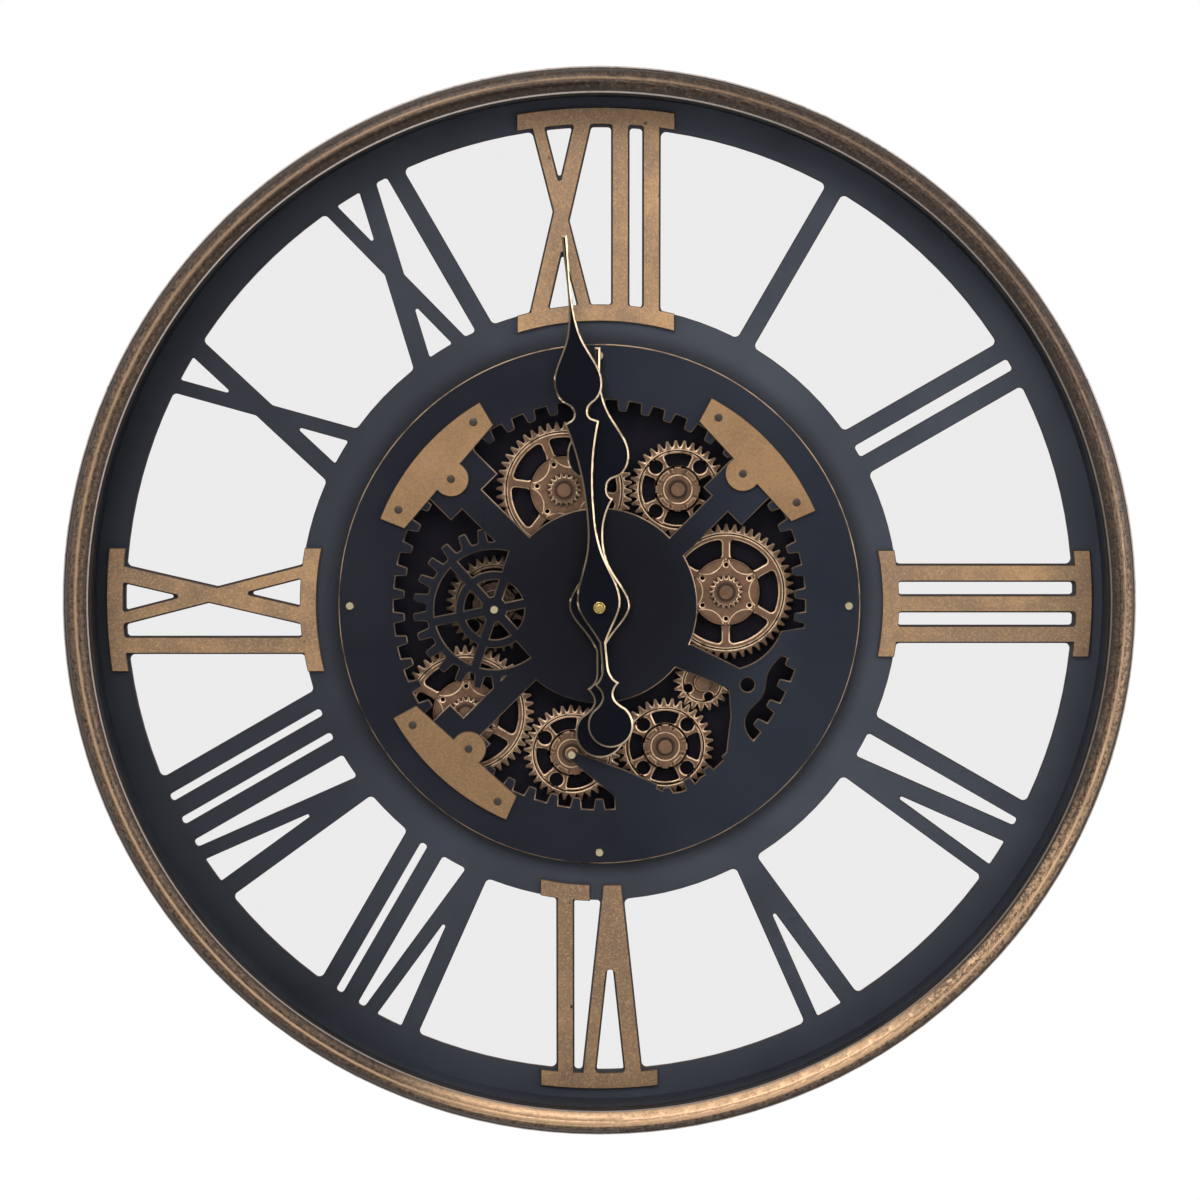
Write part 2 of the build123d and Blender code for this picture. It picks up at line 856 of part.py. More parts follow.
def large_gear(gear, spoke_turn):
    """Spoked gear with a rosette hub and a dummy pinion on its face."""
    with BuildSketch() as windows:
        Circle(large_window_outer)
        Circle(large_window_inner, mode=Mode.SUBTRACT)
        for arm in range(large_arms):
            arm_turn = spoke_turn + arm * 180.0 / large_arms
            Rectangle(2 * large_window_outer, large_spoke, rotation=arm_turn, mode=Mode.SUBTRACT)
        fillet(windows.vertices(), large_spoke / 2)
    with BuildSketch() as petals:
        with PolarLocations(petal_circle, 2 * large_arms, start_angle=spoke_turn + 90.0 / large_arms):
            Circle(petal_radius)
        Circle(petal_edge, mode=Mode.INTERSECT)
    with BuildSketch() as pinion:
        widths = (pinion_tooth_root, pinion_tooth_tip)
        Polygon(*toothed_points(pinion_teeth, pinion_root, pinion_tip, *widths), align=None)
    with BuildPart() as wheel:
        with BuildSketch(front(gear_back, *gear[0])):
            gear_blank(gear)
            add(windows.sketch, mode=Mode.SUBTRACT)
        extrude(amount=gear_sheet)
        face_groove(gear)
        rod(gear[0], large_hub, gear_front, hub_front)
        with BuildSketch(front(hub_front - petal_sink, *gear[0])):
            add(petals.sketch)
        extrude(amount=petal_sink, mode=Mode.SUBTRACT)
        with BuildSketch(front(gear_back, *gear[0])):
            with PolarLocations(rosette_hole_circle, 2 * large_arms, start_angle=spoke_turn):
                Circle(rosette_hole)
        extrude(amount=hub_front - gear_back, mode=Mode.SUBTRACT)
        with BuildSketch(front(hub_front, *gear[0])):
            add(pinion.sketch)
        extrude(amount=pinion_rise)
        rod(gear[0], arbor_radius + running_fit, gear_back, button_back, mode=Mode.SUBTRACT)
    return wheel


def middle_gear(gear, hole_turn, bore):
    """Gear with four round holes, four arc slots and a hub ring of raised segments."""
    quarter = [hole_turn + step * 360.0 / middle_holes for step in range(middle_holes)]
    with BuildSketch() as slots:
        for angle in quarter:
            between = angle + 180.0 / middle_holes
            Polygon(*wedge(middle_recess, middle_slot_outer, between, middle_slot_half), align=None)
        Circle(middle_slot_outer, mode=Mode.INTERSECT)
        Circle(middle_slot_inner, mode=Mode.SUBTRACT)
        fillet(slots.vertices(), middle_slot_corner)
    with BuildSketch() as segments:
        for angle in quarter:
            Polygon(*wedge(middle_recess, segment_outer, angle, segment_half), align=None)
        Circle(segment_outer, mode=Mode.INTERSECT)
        Circle(segment_inner, mode=Mode.SUBTRACT)
        for angle in quarter:
            for side in (-segment_hole_turn, segment_hole_turn):
                with PolarLocations((segment_outer + segment_inner) / 2, 1, start_angle=angle + side):
                    Circle(segment_hole, mode=Mode.SUBTRACT)
    with BuildPart() as wheel:
        with BuildSketch(front(gear_back, *gear[0])):
            gear_blank(gear)
            add(slots.sketch, mode=Mode.SUBTRACT)
            with PolarLocations(middle_hole_circle, middle_holes, start_angle=hole_turn):
                Circle(middle_hole, mode=Mode.SUBTRACT)
        extrude(amount=gear_sheet)
        face_groove(gear)
        rod(gear[0], middle_hub, gear_front, hub_front)
        rod(gear[0], middle_recess, hub_front - petal_sink, hub_front, mode=Mode.SUBTRACT)
        with BuildSketch(front(hub_front, *gear[0])):
            add(segments.sketch)
        extrude(amount=segment_rise)
        rod(gear[0], button_radius, hub_front - petal_sink, hub_front + pinion_rise)
        rod(gear[0], bore, gear_back, button_back, mode=Mode.SUBTRACT)
    return wheel


def small_gear(gear, hole_turn):
    """Small idler gear with four round holes and a plain boss."""
    with BuildPart() as wheel:
        with BuildSketch(front(gear_back, *gear[0])):
            gear_blank(gear)
            with PolarLocations(small_hole_circle, small_holes, start_angle=hole_turn):
                Circle(small_hole, mode=Mode.SUBTRACT)
        extrude(amount=gear_sheet)
        face_groove(gear)
        rod(gear[0], small_boss, gear_front, hub_front + pinion_rise)
        rod(gear[0], arbor_radius + running_fit, gear_back, button_back, mode=Mode.SUBTRACT)
    return wheel


arbor_bore = arbor_radius + running_fit
pieces["gear_right"] = large_gear(gear_right, upright_turn)
pieces["gear_upper_left"] = large_gear(gear_upper_left, upper_left_turn)
pieces["gear_lower_left"] = large_gear(gear_lower_left, upright_turn)
pieces["gear_upper_right"] = middle_gear(gear_upper_right, diagonal_turn, arbor_bore)
pieces["gear_driver"] = middle_gear(gear_driver, diagonal_turn, arbor_radius)
pieces["gear_bottom"] = middle_gear(gear_bottom, bottom_turn, arbor_bore)
pieces["gear_left"] = middle_gear(gear_left, diagonal_turn, arbor_bore)
pieces["gear_idler"] = small_gear(gear_idler, idler_turn)

# Arbors: six end in a button, and one runs on to carry the centre plate
button_gears = (gear_right, gear_upper_left, gear_lower_left, gear_upper_right, gear_idler, gear_left)
post_gears = (gear_bottom,)
with BuildPart() as gear_arbors:
    for gear in button_gears + post_gears:
        rod(gear[0], arbor_foot, plate_back, plate_front)
        rod(gear[0], collar_radius, plate_front, plate_front + collar_height)
        rod(gear[0], arbor_radius, plate_front + collar_height, button_back)
    for gear in button_gears:
        rod(gear[0], button_radius, button_back, button_front)
    for gear in post_gears:
        rod(gear[0], arbor_radius, button_back, centre_back)
        rod(gear[0], dial_screw_radius, centre_back - post_thread, centre_back, mode=Mode.SUBTRACT)
pieces["gear_arbors"] = gear_arbors

# Gear plate behind the gears, on pillars from the dial frame
with BuildPart() as gear_plate:
    rod((0, 0), plate_radius, plate_back, plate_front, bore=bush_radius)
    for gear in button_gears + post_gears:
        rod(gear[0], arbor_foot, plate_back, plate_front, mode=Mode.SUBTRACT)
    rod(gear_driver[0], collar_radius, plate_back, plate_front, mode=Mode.SUBTRACT)
    for pillar in range(pillar_count):
        rod(pillar_place(pillar), pillar_end, plate_back, plate_front, mode=Mode.SUBTRACT)
    for place in motor_screw_places:
        rod(place, motor_screw_radius, plate_back, plate_back + motor_bite, mode=Mode.SUBTRACT)
pieces["gear_plate"] = gear_plate

with BuildPart() as gear_plate_pillars:
    for pillar in range(pillar_count):
        rod(pillar_place(pillar), pillar_radius, plate_front, frame_back)
        rod(pillar_place(pillar), pillar_end, plate_back, frame_front)
pieces["gear_plate_pillars"] = gear_plate_pillars

# Gear motor behind the plate, with the driving shaft
with BuildPart() as gear_motor:
    ear_span = motor_width + 2 * motor_ear
    block(gear_driver[0], (motor_width, motor_height), plate_back - motor_depth, plate_back, motor_corner)
    block(gear_driver[0], (ear_span, 2 * motor_ear), plate_back - motor_ear_sheet, plate_back, motor_corner)
    rod(gear_driver[0], arbor_bore, plate_back - motor_bearing, plate_back, mode=Mode.SUBTRACT)
    for place in motor_screw_places:
        rod(place, motor_screw_radius, plate_back - motor_ear_sheet, plate_back, mode=Mode.SUBTRACT)
pieces["gear_motor"] = gear_motor

with BuildPart() as motor_shaft:
    rod(gear_driver[0], arbor_radius, plate_back - motor_bearing + play, button_back)
    rod(gear_driver[0], button_radius, button_back, button_front)
pieces["motor_shaft"] = motor_shaft

with BuildPart() as motor_screws:
    seat = plate_back - motor_ear_sheet
    for place in motor_screw_places:
        rod(place, motor_head_radius, seat - motor_head_height, seat)
        rod(place, motor_screw_radius, seat, plate_back + motor_bite)
pieces["motor_screws"] = motor_screws

# Quartz movement on the dial axis
movement_front = plate_back - washer_sheet
movement_back = movement_front - movement_depth
inside_front = movement_front - movement_wall
inside_back = movement_back + movement_wall
inside_half = movement_side / 2 - movement_wall
bush_front = movement_front + bush_reach
cell_z = -inside_half + cell_room + cell_radius
cell_depth = inside_front - cell_room - cell_radius
partition_z = cell_z + cell_radius + cell_room + movement_wall / 2
setting_place = (0.0, motion_distance)
hour_wheel_front = hour_wheel_back + motion_sheet

with BuildPart() as movement_case:
    block((0, 0), (movement_side, movement_side), inside_back, movement_front, movement_corner)
    block((0, 0), (2 * inside_half, 2 * inside_half), inside_back, inside_front, mode=Mode.SUBTRACT)
    block((0, partition_z), (2 * inside_half, movement_wall), inside_back, inside_front)
    rod((0, 0), bush_radius, hour_wheel_front + play, bush_front)
    rod((0, 0), pipe_radius + running_fit, hour_wheel_front, bush_front, mode=Mode.SUBTRACT)
    rod(setting_place, motion_boss, pivot_back, inside_front)
    rod(setting_place, motion_shaft + running_fit, pivot_back, pivot_front + play, mode=Mode.SUBTRACT)
pieces["movement_case"] = movement_case

with BuildPart() as movement_cover:
    block((0, 0), (movement_side, movement_side), movement_back, inside_back, movement_corner)
    bay = (cell_length + 2 * play, 2 * (cell_radius + cell_room))
    block((0, cell_z), bay, movement_back, inside_back, mode=Mode.SUBTRACT)
    rod((0, 0), motion_boss, inside_back, cannon_back - play)
    pivot_end = movement_back + movement_wall / 2
    rod((0, 0), motion_shaft + running_fit, pivot_end, cannon_back, mode=Mode.SUBTRACT)
    rod(setting_place, motion_boss, inside_back, minute_wheel_back - play)
    rod(setting_place, motion_shaft + running_fit, movement_back, minute_wheel_back, mode=Mode.SUBTRACT)
pieces["movement_cover"] = movement_cover

with BuildPart() as movement_washer:
    rod((0, 0), washer_radius, movement_front, plate_back, bore=bush_radius)
pieces["movement_washer"] = movement_washer

with BuildPart() as movement_nut:
    with BuildSketch(front(plate_front)):
        RegularPolygon(nut_radius, 6)
        Circle(bush_radius, mode=Mode.SUBTRACT)
    extrude(amount=nut_height)
pieces["movement_nut"] = movement_nut

with BuildPart() as movement_board:
    block(board_at, board_size, inside_front - board_sheet, inside_front)
pieces["movement_board"] = movement_board

with BuildPart() as movement_coil:
    board_back = inside_front - board_sheet
    coil_depth = board_back - coil_cheek / 2
    bar((board_at[0], board_at[1] - coil_length / 2), coil_depth, coil_radius, coil_length, (0, 0, 1))
    for side in (-1, 1):
        cheek_at = (board_at[0], board_at[1] + side * coil_length / 2)
        block(cheek_at, (coil_cheek, board_sheet), board_back - coil_cheek, board_back)
pieces["movement_coil"] = movement_coil


# Motion work between the two hands
def motion_wheel(module, teeth, phase):
    """Outline points of a wheel in the movement."""
    tip = module * (teeth / 2 + motion_tip_rise)
    root = tip - module * motion_tooth_height
    return toothed_points(teeth, root, tip, module * motion_tooth_root, module * motion_tooth_tip, phase)


with BuildPart() as minute_arbor:
    rod((0, 0), motion_shaft, pivot_end + play, cannon_back)
    with BuildSketch(front(cannon_back)):
        Polygon(*motion_wheel(motion_module, cannon_teeth, 90.0), align=None)
    extrude(amount=cannon_front - cannon_back)
    rod((0, 0), arbor_core, cannon_front, minute_back)
    rod((0, 0), arbor_seat, minute_back, minute_front + cap_bore_depth)
pieces["minute_arbor"] = minute_arbor

with BuildPart() as minute_wheel:
    wheel_front = minute_wheel_back + motion_sheet
    with BuildSketch(front(minute_wheel_back, *setting_place)):
        between = -90.0 + 180.0 / minute_wheel_teeth
        Polygon(*motion_wheel(motion_module, minute_wheel_teeth, between), align=None)
    extrude(amount=motion_sheet)
    with BuildSketch(front(wheel_front, *setting_place)):
        Polygon(*motion_wheel(hour_module, minute_pinion_teeth, -90.0), align=None)
    extrude(amount=minute_pinion_front - wheel_front)
    rod(setting_place, motion_shaft, knob_back, minute_wheel_back)
    rod(setting_place, motion_shaft, minute_pinion_front, pivot_front)
pieces["minute_wheel"] = minute_wheel

with BuildPart() as set_knob:
    rod(setting_place, knob_radius, knob_back, knob_back + knob_height, bore=motion_shaft)
    with BuildSketch(front(knob_back, *setting_place)):
        with PolarLocations(knob_radius, knob_grips):
            Circle(knob_groove)
    extrude(amount=knob_height, mode=Mode.SUBTRACT)
pieces["set_knob"] = set_knob

with BuildPart() as hour_pipe:
    with BuildSketch(front(hour_wheel_back)):
        between = 90.0 + 180.0 / hour_wheel_teeth
        Polygon(*motion_wheel(hour_module, hour_wheel_teeth, between), align=None)
    extrude(amount=motion_sheet)
    rod((0, 0), pipe_radius, cannon_front + play, hour_back)
    rod((0, 0), pipe_seat, hour_back, hour_back + hand_sheet)
    rod((0, 0), pipe_bore, cannon_front, hour_back + hand_sheet, mode=Mode.SUBTRACT)
pieces["hour_pipe"] = hour_pipe


# Hands
def hand_outline(shape):
    """Outline of a spade hand that points outward along +Y."""
    tail_radius, tail_middle = shape["tail"]
    across, rise = clockwise(tail_radius, tail_join_turn)
    tail_join = (across, tail_middle + rise)
    with BuildSketch() as outline:
        with BuildLine():
            Line((0, shape["tip"][1]), shape["tip"])
            blade = ("tip", "flare", "swell", "spade", "shoulder", "neck")
            Spline(*[shape[name] for name in blade], tangents=((0, -1), (0, -1)))
            Spline(shape["neck"], shape["barb"], tangents=((0, -1), barb_direction))
            belly = ("barb", "taper", "waist", "swell_low", "hub", "hub_low", "stem")
            Spline(*[shape[name] for name in belly])
            Line(shape["stem"], shape["stem_low"])
            Spline(shape["stem_low"], shape["tail_barb"], tangents=((0, -1), barb_direction))
            Spline(shape["tail_barb"], shape["tail_neck"], tail_join)
            ThreePointArc(tail_join, (tail_radius, tail_middle), (0, tail_middle - tail_radius))
            Line((0, tail_middle - tail_radius), (0, shape["tip"][1]))
        make_face()
        mirror(about=Plane.YZ)
    return outline.sketch


with BuildPart() as hour_hand:
    with BuildSketch(front(hour_back, turn=hour_turn)):
        add(hand_outline(hour_shape))
        Circle(pipe_seat, mode=Mode.SUBTRACT)
    extrude(amount=hand_sheet)
pieces["hour_hand"] = hour_hand

with BuildPart() as minute_hand:
    with BuildSketch(front(minute_back, turn=minute_turn)):
        add(hand_outline(minute_shape))
        Circle(arbor_seat, mode=Mode.SUBTRACT)
    extrude(amount=hand_sheet)
pieces["minute_hand"] = minute_hand

with BuildPart() as hand_cap:
    rod((0, 0), cap_radius, minute_front, minute_front + cap_height)
    fillet(hand_cap.edges().sort_by(Axis.Y)[0], cap_height / 2)
    rod((0, 0), arbor_seat, minute_front, minute_front + cap_bore_depth, mode=Mode.SUBTRACT)
pieces["hand_cap"] = hand_cap


# Centre plate: outlines that are cut from it and left standing on it
dummy_middle = (gear_left[0][0], gear_left[0][1] - dummy_drop)


def sector(low, high, start, end):
    """Ring sector between two radii and two clockwise turns, as a sketch on the ground plane."""
    with BuildSketch() as ring_part:
        Polygon(*wedge(low / 2, high, 90.0 - (start + end) / 2, (end - start) / 2), align=None)
        Circle(high, mode=Mode.INTERSECT)
        Circle(low, mode=Mode.SUBTRACT)
    return ring_part.sketch


with BuildSketch() as dummy_gear:
    dummy_pitch = 360.0 / dummy_teeth
    dummy_root_width = dummy_tooth_share * radians(dummy_pitch) * dummy_root
    dummy_tip_width = dummy_tip_share * radians(dummy_pitch) * dummy_tip
    dummy_widths = (dummy_root_width, dummy_tip_width)
    dummy_corners = toothed_points(dummy_teeth, dummy_root, dummy_tip, *dummy_widths, dummy_tooth_turn)
    Polygon(*dummy_corners, align=None)
    fillet(dummy_gear.vertices(), dummy_round)

with BuildSketch() as dummy_windows:
    for opening in range(dummy_spokes):
        end = dummy_spoke_turn - opening * 360.0 / dummy_spokes
        start = end - 360.0 / dummy_spokes
        add(sector(dummy_hub_inner, dummy_hub_outer, start, end))
        if opening < dummy_open_sectors:
            add(sector(dummy_ring_inner, dummy_ring_outer, start, end))
    for spoke in range(dummy_spokes // 2):
        spoke_turn = dummy_spoke_turn + spoke * 360.0 / dummy_spokes
        Rectangle(dummy_spoke, 2 * dummy_ring_outer, rotation=-spoke_turn, mode=Mode.SUBTRACT)

# Tooth of the ring round the channel, pointing inward
with BuildSketch() as ring_tooth:
    tooth_bed = channel_outer + ring_tooth_bed
    tooth_end = channel_outer - ring_tooth_height
    half_bed = ring_tooth_root / 2
    half_end = ring_tooth_tip / 2
    tooth_flank = ((half_bed, tooth_bed), (half_end, tooth_end))
    Polygon(*tooth_flank, (-half_end, tooth_end), (-half_bed, tooth_bed), align=None)
    fillet(ring_tooth.vertices().group_by(Axis.Y)[0], ring_tooth_round)


def web_line(*names):
    """Points of the web's outline, by name."""
    return [web_points[name] for name in names]


with BuildSketch() as web_outline:
    with BuildLine():
        Polyline(*web_line("hub", "upper_bend", "upper_end"))
        ThreePointArc(*web_line("upper_end", "shoulder_bulge", "shoulder_top"))
        Polyline(*web_line("shoulder_top", "ring_step", "ring_upper"))
        ThreePointArc(*web_line("ring_upper", "ring_middle", "ring_lower"))
        Polyline(*web_line("ring_lower", "finger_side", "finger_root", "finger_low", "finger_high"))
        Polyline(*web_line("finger_high", "finger_back", "bay_start", "bay_edge"))
        ThreePointArc(*web_line("bay_edge", "bay_bulge", "bay_end"))
        Polyline(*web_line("bay_end", "rise_low", "rise_bend", "rise_middle"))
        Polyline(*web_line("rise_middle", "rise_top", "inner_bend", "hub"))
    make_face()

# Slot in the web, open to the teeth of the ring on its outer side
with BuildSketch() as web_slot:
    with BuildLine():
        first = Vector(*web_slot_edge[0])
        last = Vector(*web_slot_edge[-1])
        Spline(*web_slot_edge)
        Polyline(last, last * web_slot_overrun, first * web_slot_overrun, first)
    make_face()
    Circle(channel_outer, mode=Mode.INTERSECT)

with BuildPart() as centre_dial:
    with BuildSketch(front(centre_back)):
        Circle(centre_radius)
        Circle(channel_outer, mode=Mode.SUBTRACT)
        Circle(channel_inner)
        add(web_outline.sketch)
        with Locations(gear_bottom[0]):
            Circle(finger_tip_radius)
        add(web_slot.sketch, mode=Mode.SUBTRACT)
        with Locations(web_hole_at):
            Circle(web_hole_radius, mode=Mode.SUBTRACT)
        for turn, shift, half, shoulder, shoulder_shift, shoulder_half in arms:
            with Locations(Rotation(0, 0, -turn)):
                with Locations((shift, channel_outer / 2)):
                    Rectangle(2 * half, channel_outer + ring_tooth_height)
                with Locations((shoulder_shift, (shoulder + channel_outer + ring_tooth_height) / 2)):
                    Rectangle(2 * shoulder_half, channel_outer + ring_tooth_height - shoulder)
        with PolarLocations(0, ring_teeth):
            add(ring_tooth.sketch)
        with Locations(dummy_middle):
            add(dummy_gear.sketch)
            add(dummy_windows.sketch, mode=Mode.SUBTRACT)
            Circle(dial_screw_radius, mode=Mode.SUBTRACT)
        Circle(pipe_hole, mode=Mode.SUBTRACT)
        for turn in dial_screw_turns:
            with Locations(clockwise(dial_screw_circle, turn)):
                Circle(dial_screw_radius, mode=Mode.SUBTRACT)
        for gear in post_gears:
            with Locations(gear[0]):
                Circle(dial_screw_radius, mode=Mode.SUBTRACT)
        for turn in corner_turns.values():
            for place in corner_rivet_places(turn):
                with Locations(place):
                    Circle(corner_rivet_radius, mode=Mode.SUBTRACT)
    extrude(amount=centre_sheet)
pieces["centre_dial"] = centre_dial

with BuildPart() as dial_spacers:
    for turn in dial_screw_turns:
        place = clockwise(dial_screw_circle, turn)
        rod(place, spacer_radius, frame_front, centre_back, bore=dial_screw_radius)
pieces["dial_spacers"] = dial_spacers

with BuildPart() as dial_screws:
    for turn in dial_screw_turns:
        place = clockwise(dial_screw_circle, turn)
        rod(place, dial_screw_radius, frame_back, centre_front)
        rod(place, dial_head_radius, centre_front, centre_front + dial_head_height)
    for gear in post_gears:
        rod(gear[0], dial_screw_radius, centre_back - post_thread, centre_front)
        rod(gear[0], dial_head_radius, centre_front, centre_front + dial_head_height)
    rod(dummy_middle, dial_screw_radius, centre_back, centre_front)
    rod(dummy_middle, dial_head_radius, centre_front, centre_front + dial_head_height)
pieces["dial_screws"] = dial_screws

# Bronze corner plates
for label, turn in corner_turns.items():
    with BuildPart() as corner_plate:
        left = clockwise(1.0, -corner_half_turn)
        right = clockwise(1.0, corner_half_turn)
        outer_left = (left[0] * corner_outer, left[1] * corner_outer)
        outer_right = (right[0] * corner_outer, right[1] * corner_outer)
        inner_left = (left[0] * corner_inner, left[1] * corner_inner)
        inner_right = (right[0] * corner_inner, right[1] * corner_inner)
        with BuildSketch(front(centre_front, turn=turn)):
            with BuildLine():
                ThreePointArc(outer_left, (0, corner_outer), outer_right)
                Polyline(outer_right, inner_right, inner_left, outer_left)
            make_face()
            with Locations((0, corner_tab_circle)):
                Circle(corner_tab_radius)
        extrude(amount=corner_sheet)
        for place in corner_rivet_places(turn):
            rod(place, corner_rivet_radius, centre_front, corner_front, mode=Mode.SUBTRACT)
    pieces[f"corner_plate_{label}"] = corner_plate

with BuildPart() as corner_plate_rivets:
    for turn in corner_turns.values():
        for place in corner_rivet_places(turn):
            rod(place, corner_rivet_radius, centre_back, corner_front)
            rod(place, corner_rivet_head, corner_front, corner_front + corner_rivet_rise)
pieces["corner_plate_rivets"] = corner_plate_rivets

# Drum, rear cover, hanger and their fasteners
with BuildPart() as drum_shell:
    rod((0, 0), drum_radius, cover_front, frame_back, bore=drum_radius - drum_wall)
    flange_back = frame_back - drum_flange_sheet
    rod((0, 0), drum_radius + drum_flange, flange_back, frame_back, bore=drum_radius - drum_wall)
    foot_bore = drum_radius - drum_wall - drum_foot
    rod((0, 0), drum_radius, cover_front, cover_front + drum_flange_sheet, bore=foot_bore)
    for screw in range(case_screw_count):
        turn = case_turn(screw)
        place = clockwise(drum_flange_circle, turn)
        rod(place, case_screw_radius, flange_back, frame_back, mode=Mode.SUBTRACT)
        place = clockwise(cover_screw_circle, turn)
        rod(place, case_screw_radius, cover_front, cover_front + drum_flange_sheet, mode=Mode.SUBTRACT)
pieces["drum_shell"] = drum_shell

with BuildPart() as case_screws:
    for screw in range(case_screw_count):
        turn = case_turn(screw)
        place = clockwise(drum_flange_circle, turn)
        seat = frame_back - drum_flange_sheet
        rod(place, case_head_radius, seat - case_head_height, seat)
        rod(place, case_screw_radius, seat, frame_back + clip_bite)
        place = clockwise(cover_screw_circle, turn)
        rod(place, case_head_radius, cover_back - case_head_height, cover_back)
        rod(place, case_screw_radius, cover_back, cover_front + drum_flange_sheet)
pieces["case_screws"] = case_screws

# Battery box for the gear motor, with its lid
box_inner = (cell_length + 2 * box_end_room, 4 * (cell_radius + cell_room))
box_outer = (box_inner[0] + 2 * box_wall, box_inner[1] + 2 * box_wall)
lid_room = (box_inner[0] + 2 * lid_ledge, box_inner[1] + 2 * lid_ledge)
box_cell_depth = cover_front + cell_room + cell_radius
box_inside = box_cell_depth + cell_radius + cell_room
box_cells = [(box_at[0], box_at[1] + side * (cell_radius + cell_room)) for side in (-1, 1)]
slot_size = (slider_size[0] + slider_travel + 2 * play, slider_size[1] + 2 * play)
slider_base = (slider_size[0] + 2 * slider_lip, slider_size[1] + 2 * slider_lip)
base_room = (slider_base[0] + slider_travel + 2 * play, slider_base[1] + 2 * play)

with BuildPart() as battery_box:
    block(box_at, box_outer, cover_front, box_inside + box_floor, service_margin)
    block(box_at, box_inner, cover_front, box_inside, mode=Mode.SUBTRACT)
pieces["battery_box"] = battery_box

with BuildPart() as battery_lid:
    block(box_at, (lid_room[0] - slip, lid_room[1] - slip), cover_front - lid_sheet, cover_front)
pieces["battery_lid"] = battery_lid

with BuildPart() as batteries:
    for place, depth in [(place, box_cell_depth) for place in box_cells] + [((0.0, cell_z), cell_depth)]:
        start = place[0] - cell_length / 2
        bar((start, place[1]), depth, cell_radius, cell_length - cell_tip, (1, 0, 0))
        bar((start, place[1]), depth, cell_tip_radius, cell_length, (1, 0, 0))
pieces["batteries"] = batteries

with BuildPart() as battery_contacts:
    for place, depth, room in [(place, box_cell_depth, box_inner[0] / 2) for place in box_cells] + [
        ((0.0, cell_z), cell_depth, inside_half)
    ]:
        for side in (-1, 1):
            plate_at = (place[0] + side * (room - contact_sheet / 2), place[1])
            half = contact_size / 2
            block(plate_at, (contact_sheet, contact_size), depth - half, depth + half)
            tip_from = place[0] + side * cell_length / 2
            tip_length = room - cell_length / 2 - contact_sheet / 2
            bar((tip_from, place[1]), depth, contact_tip_radius, tip_length, (side, 0, 0))
pieces["battery_contacts"] = battery_contacts

# Switch
with BuildPart() as switch_body:
    block(switch_at, switch_size[:2], cover_front, cover_front + switch_size[2])
    block(switch_at, base_room, cover_front, cover_front + slider_sink + play, mode=Mode.SUBTRACT)
pieces["switch_body"] = switch_body

with BuildPart() as switch_slider:
    slider_at = (switch_at[0] - slider_travel / 2, switch_at[1])
    block(slider_at, slider_size, cover_back - slider_proud, cover_front + slider_sink)
    block(slider_at, slider_base, cover_front + play, cover_front + slider_sink)
pieces["switch_slider"] = switch_slider

# Lead wires
with BuildPart() as lead_wires:
    box_low = box_at[1] - box_outer[1] / 2
    switch_top = switch_at[1] + switch_size[1] / 2
    bar((box_at[0], box_low), wire_depth, wire_radius, box_low - switch_top, (0, 0, -1))
    box_side = box_at[0] + box_outer[0] / 2
    motor_side = gear_driver[0][0] - motor_width / 2
    wire_level = gear_driver[0][1]
    bar((box_side, wire_level), wire_depth, wire_radius, motor_side - box_side, (1, 0, 0))
    switch_side = switch_at[0] + switch_size[0] / 2
    motor_low = gear_driver[0][1] - motor_height / 2
    corner_x = gear_driver[0][0]
    level = switch_at[1] - hang_drop
    with BuildLine() as path:
        Line((switch_side, -wire_depth, level), (corner_x, -wire_depth, level))
        Line((corner_x, -wire_depth, level), (corner_x, -wire_depth, motor_low - hang_drop))
        fillet(path.vertices().filter_by(lambda point: point.Z == level and point.X == corner_x), wire_bend)
    with BuildSketch(Plane(origin=(switch_side, -wire_depth, level), z_dir=(1, 0, 0))) as wire_end:
        Circle(wire_radius)
    sweep(wire_end.sketch, path=path.line)
pieces["lead_wires"] = lead_wires

with BuildPart() as rear_cover:
    rod((0, 0), drum_radius, cover_back, cover_front)
    opening = movement_side + 2 * service_margin
    block((0, 0), (opening, opening), cover_back, cover_front, movement_corner, Mode.SUBTRACT)
    block(box_at, lid_room, cover_back, cover_front, mode=Mode.SUBTRACT)
    block(switch_at, slot_size, cover_back, cover_front, mode=Mode.SUBTRACT)
    room_width = 2 * (keyhole_radius + hanger_room)
    room_height = keyhole_reach + keyhole_slot / 2 + keyhole_radius + 2 * hanger_room
    room_middle = hang_drop + (keyhole_reach + keyhole_slot / 2 - keyhole_radius) / 2
    block((0, room_middle), (room_width, room_height), cover_back, cover_front, hanger_room, Mode.SUBTRACT)
    for screw in range(case_screw_count):
        place = clockwise(cover_screw_circle, case_turn(screw))
        rod(place, case_screw_radius, cover_back, cover_front, mode=Mode.SUBTRACT)
    for side in (-1, 1):
        place = (side * hanger_rivet_spacing / 2, hang_drop)
        rod(place, hanger_rivet_radius, cover_back, cover_front, mode=Mode.SUBTRACT)
pieces["rear_cover"] = rear_cover

with BuildPart() as hanger_plate:
    block((0, hang_drop), hanger_size, 0.0, hanger_sheet, hanger_corner)
    rod((0, hang_drop), keyhole_radius, 0.0, hanger_sheet, mode=Mode.SUBTRACT)
    slot_at = (0, hang_drop + keyhole_reach / 2)
    block(slot_at, (keyhole_slot, keyhole_reach), 0.0, hanger_sheet, mode=Mode.SUBTRACT)
    slot_end = (0, hang_drop + keyhole_reach)
    rod(slot_end, keyhole_slot / 2, 0.0, hanger_sheet, mode=Mode.SUBTRACT)
    for side in (-1, 1):
        place = (side * hanger_rivet_spacing / 2, hang_drop)
        rod(place, hanger_rivet_radius, 0.0, hanger_sheet, mode=Mode.SUBTRACT)
pieces["hanger_plate"] = hanger_plate

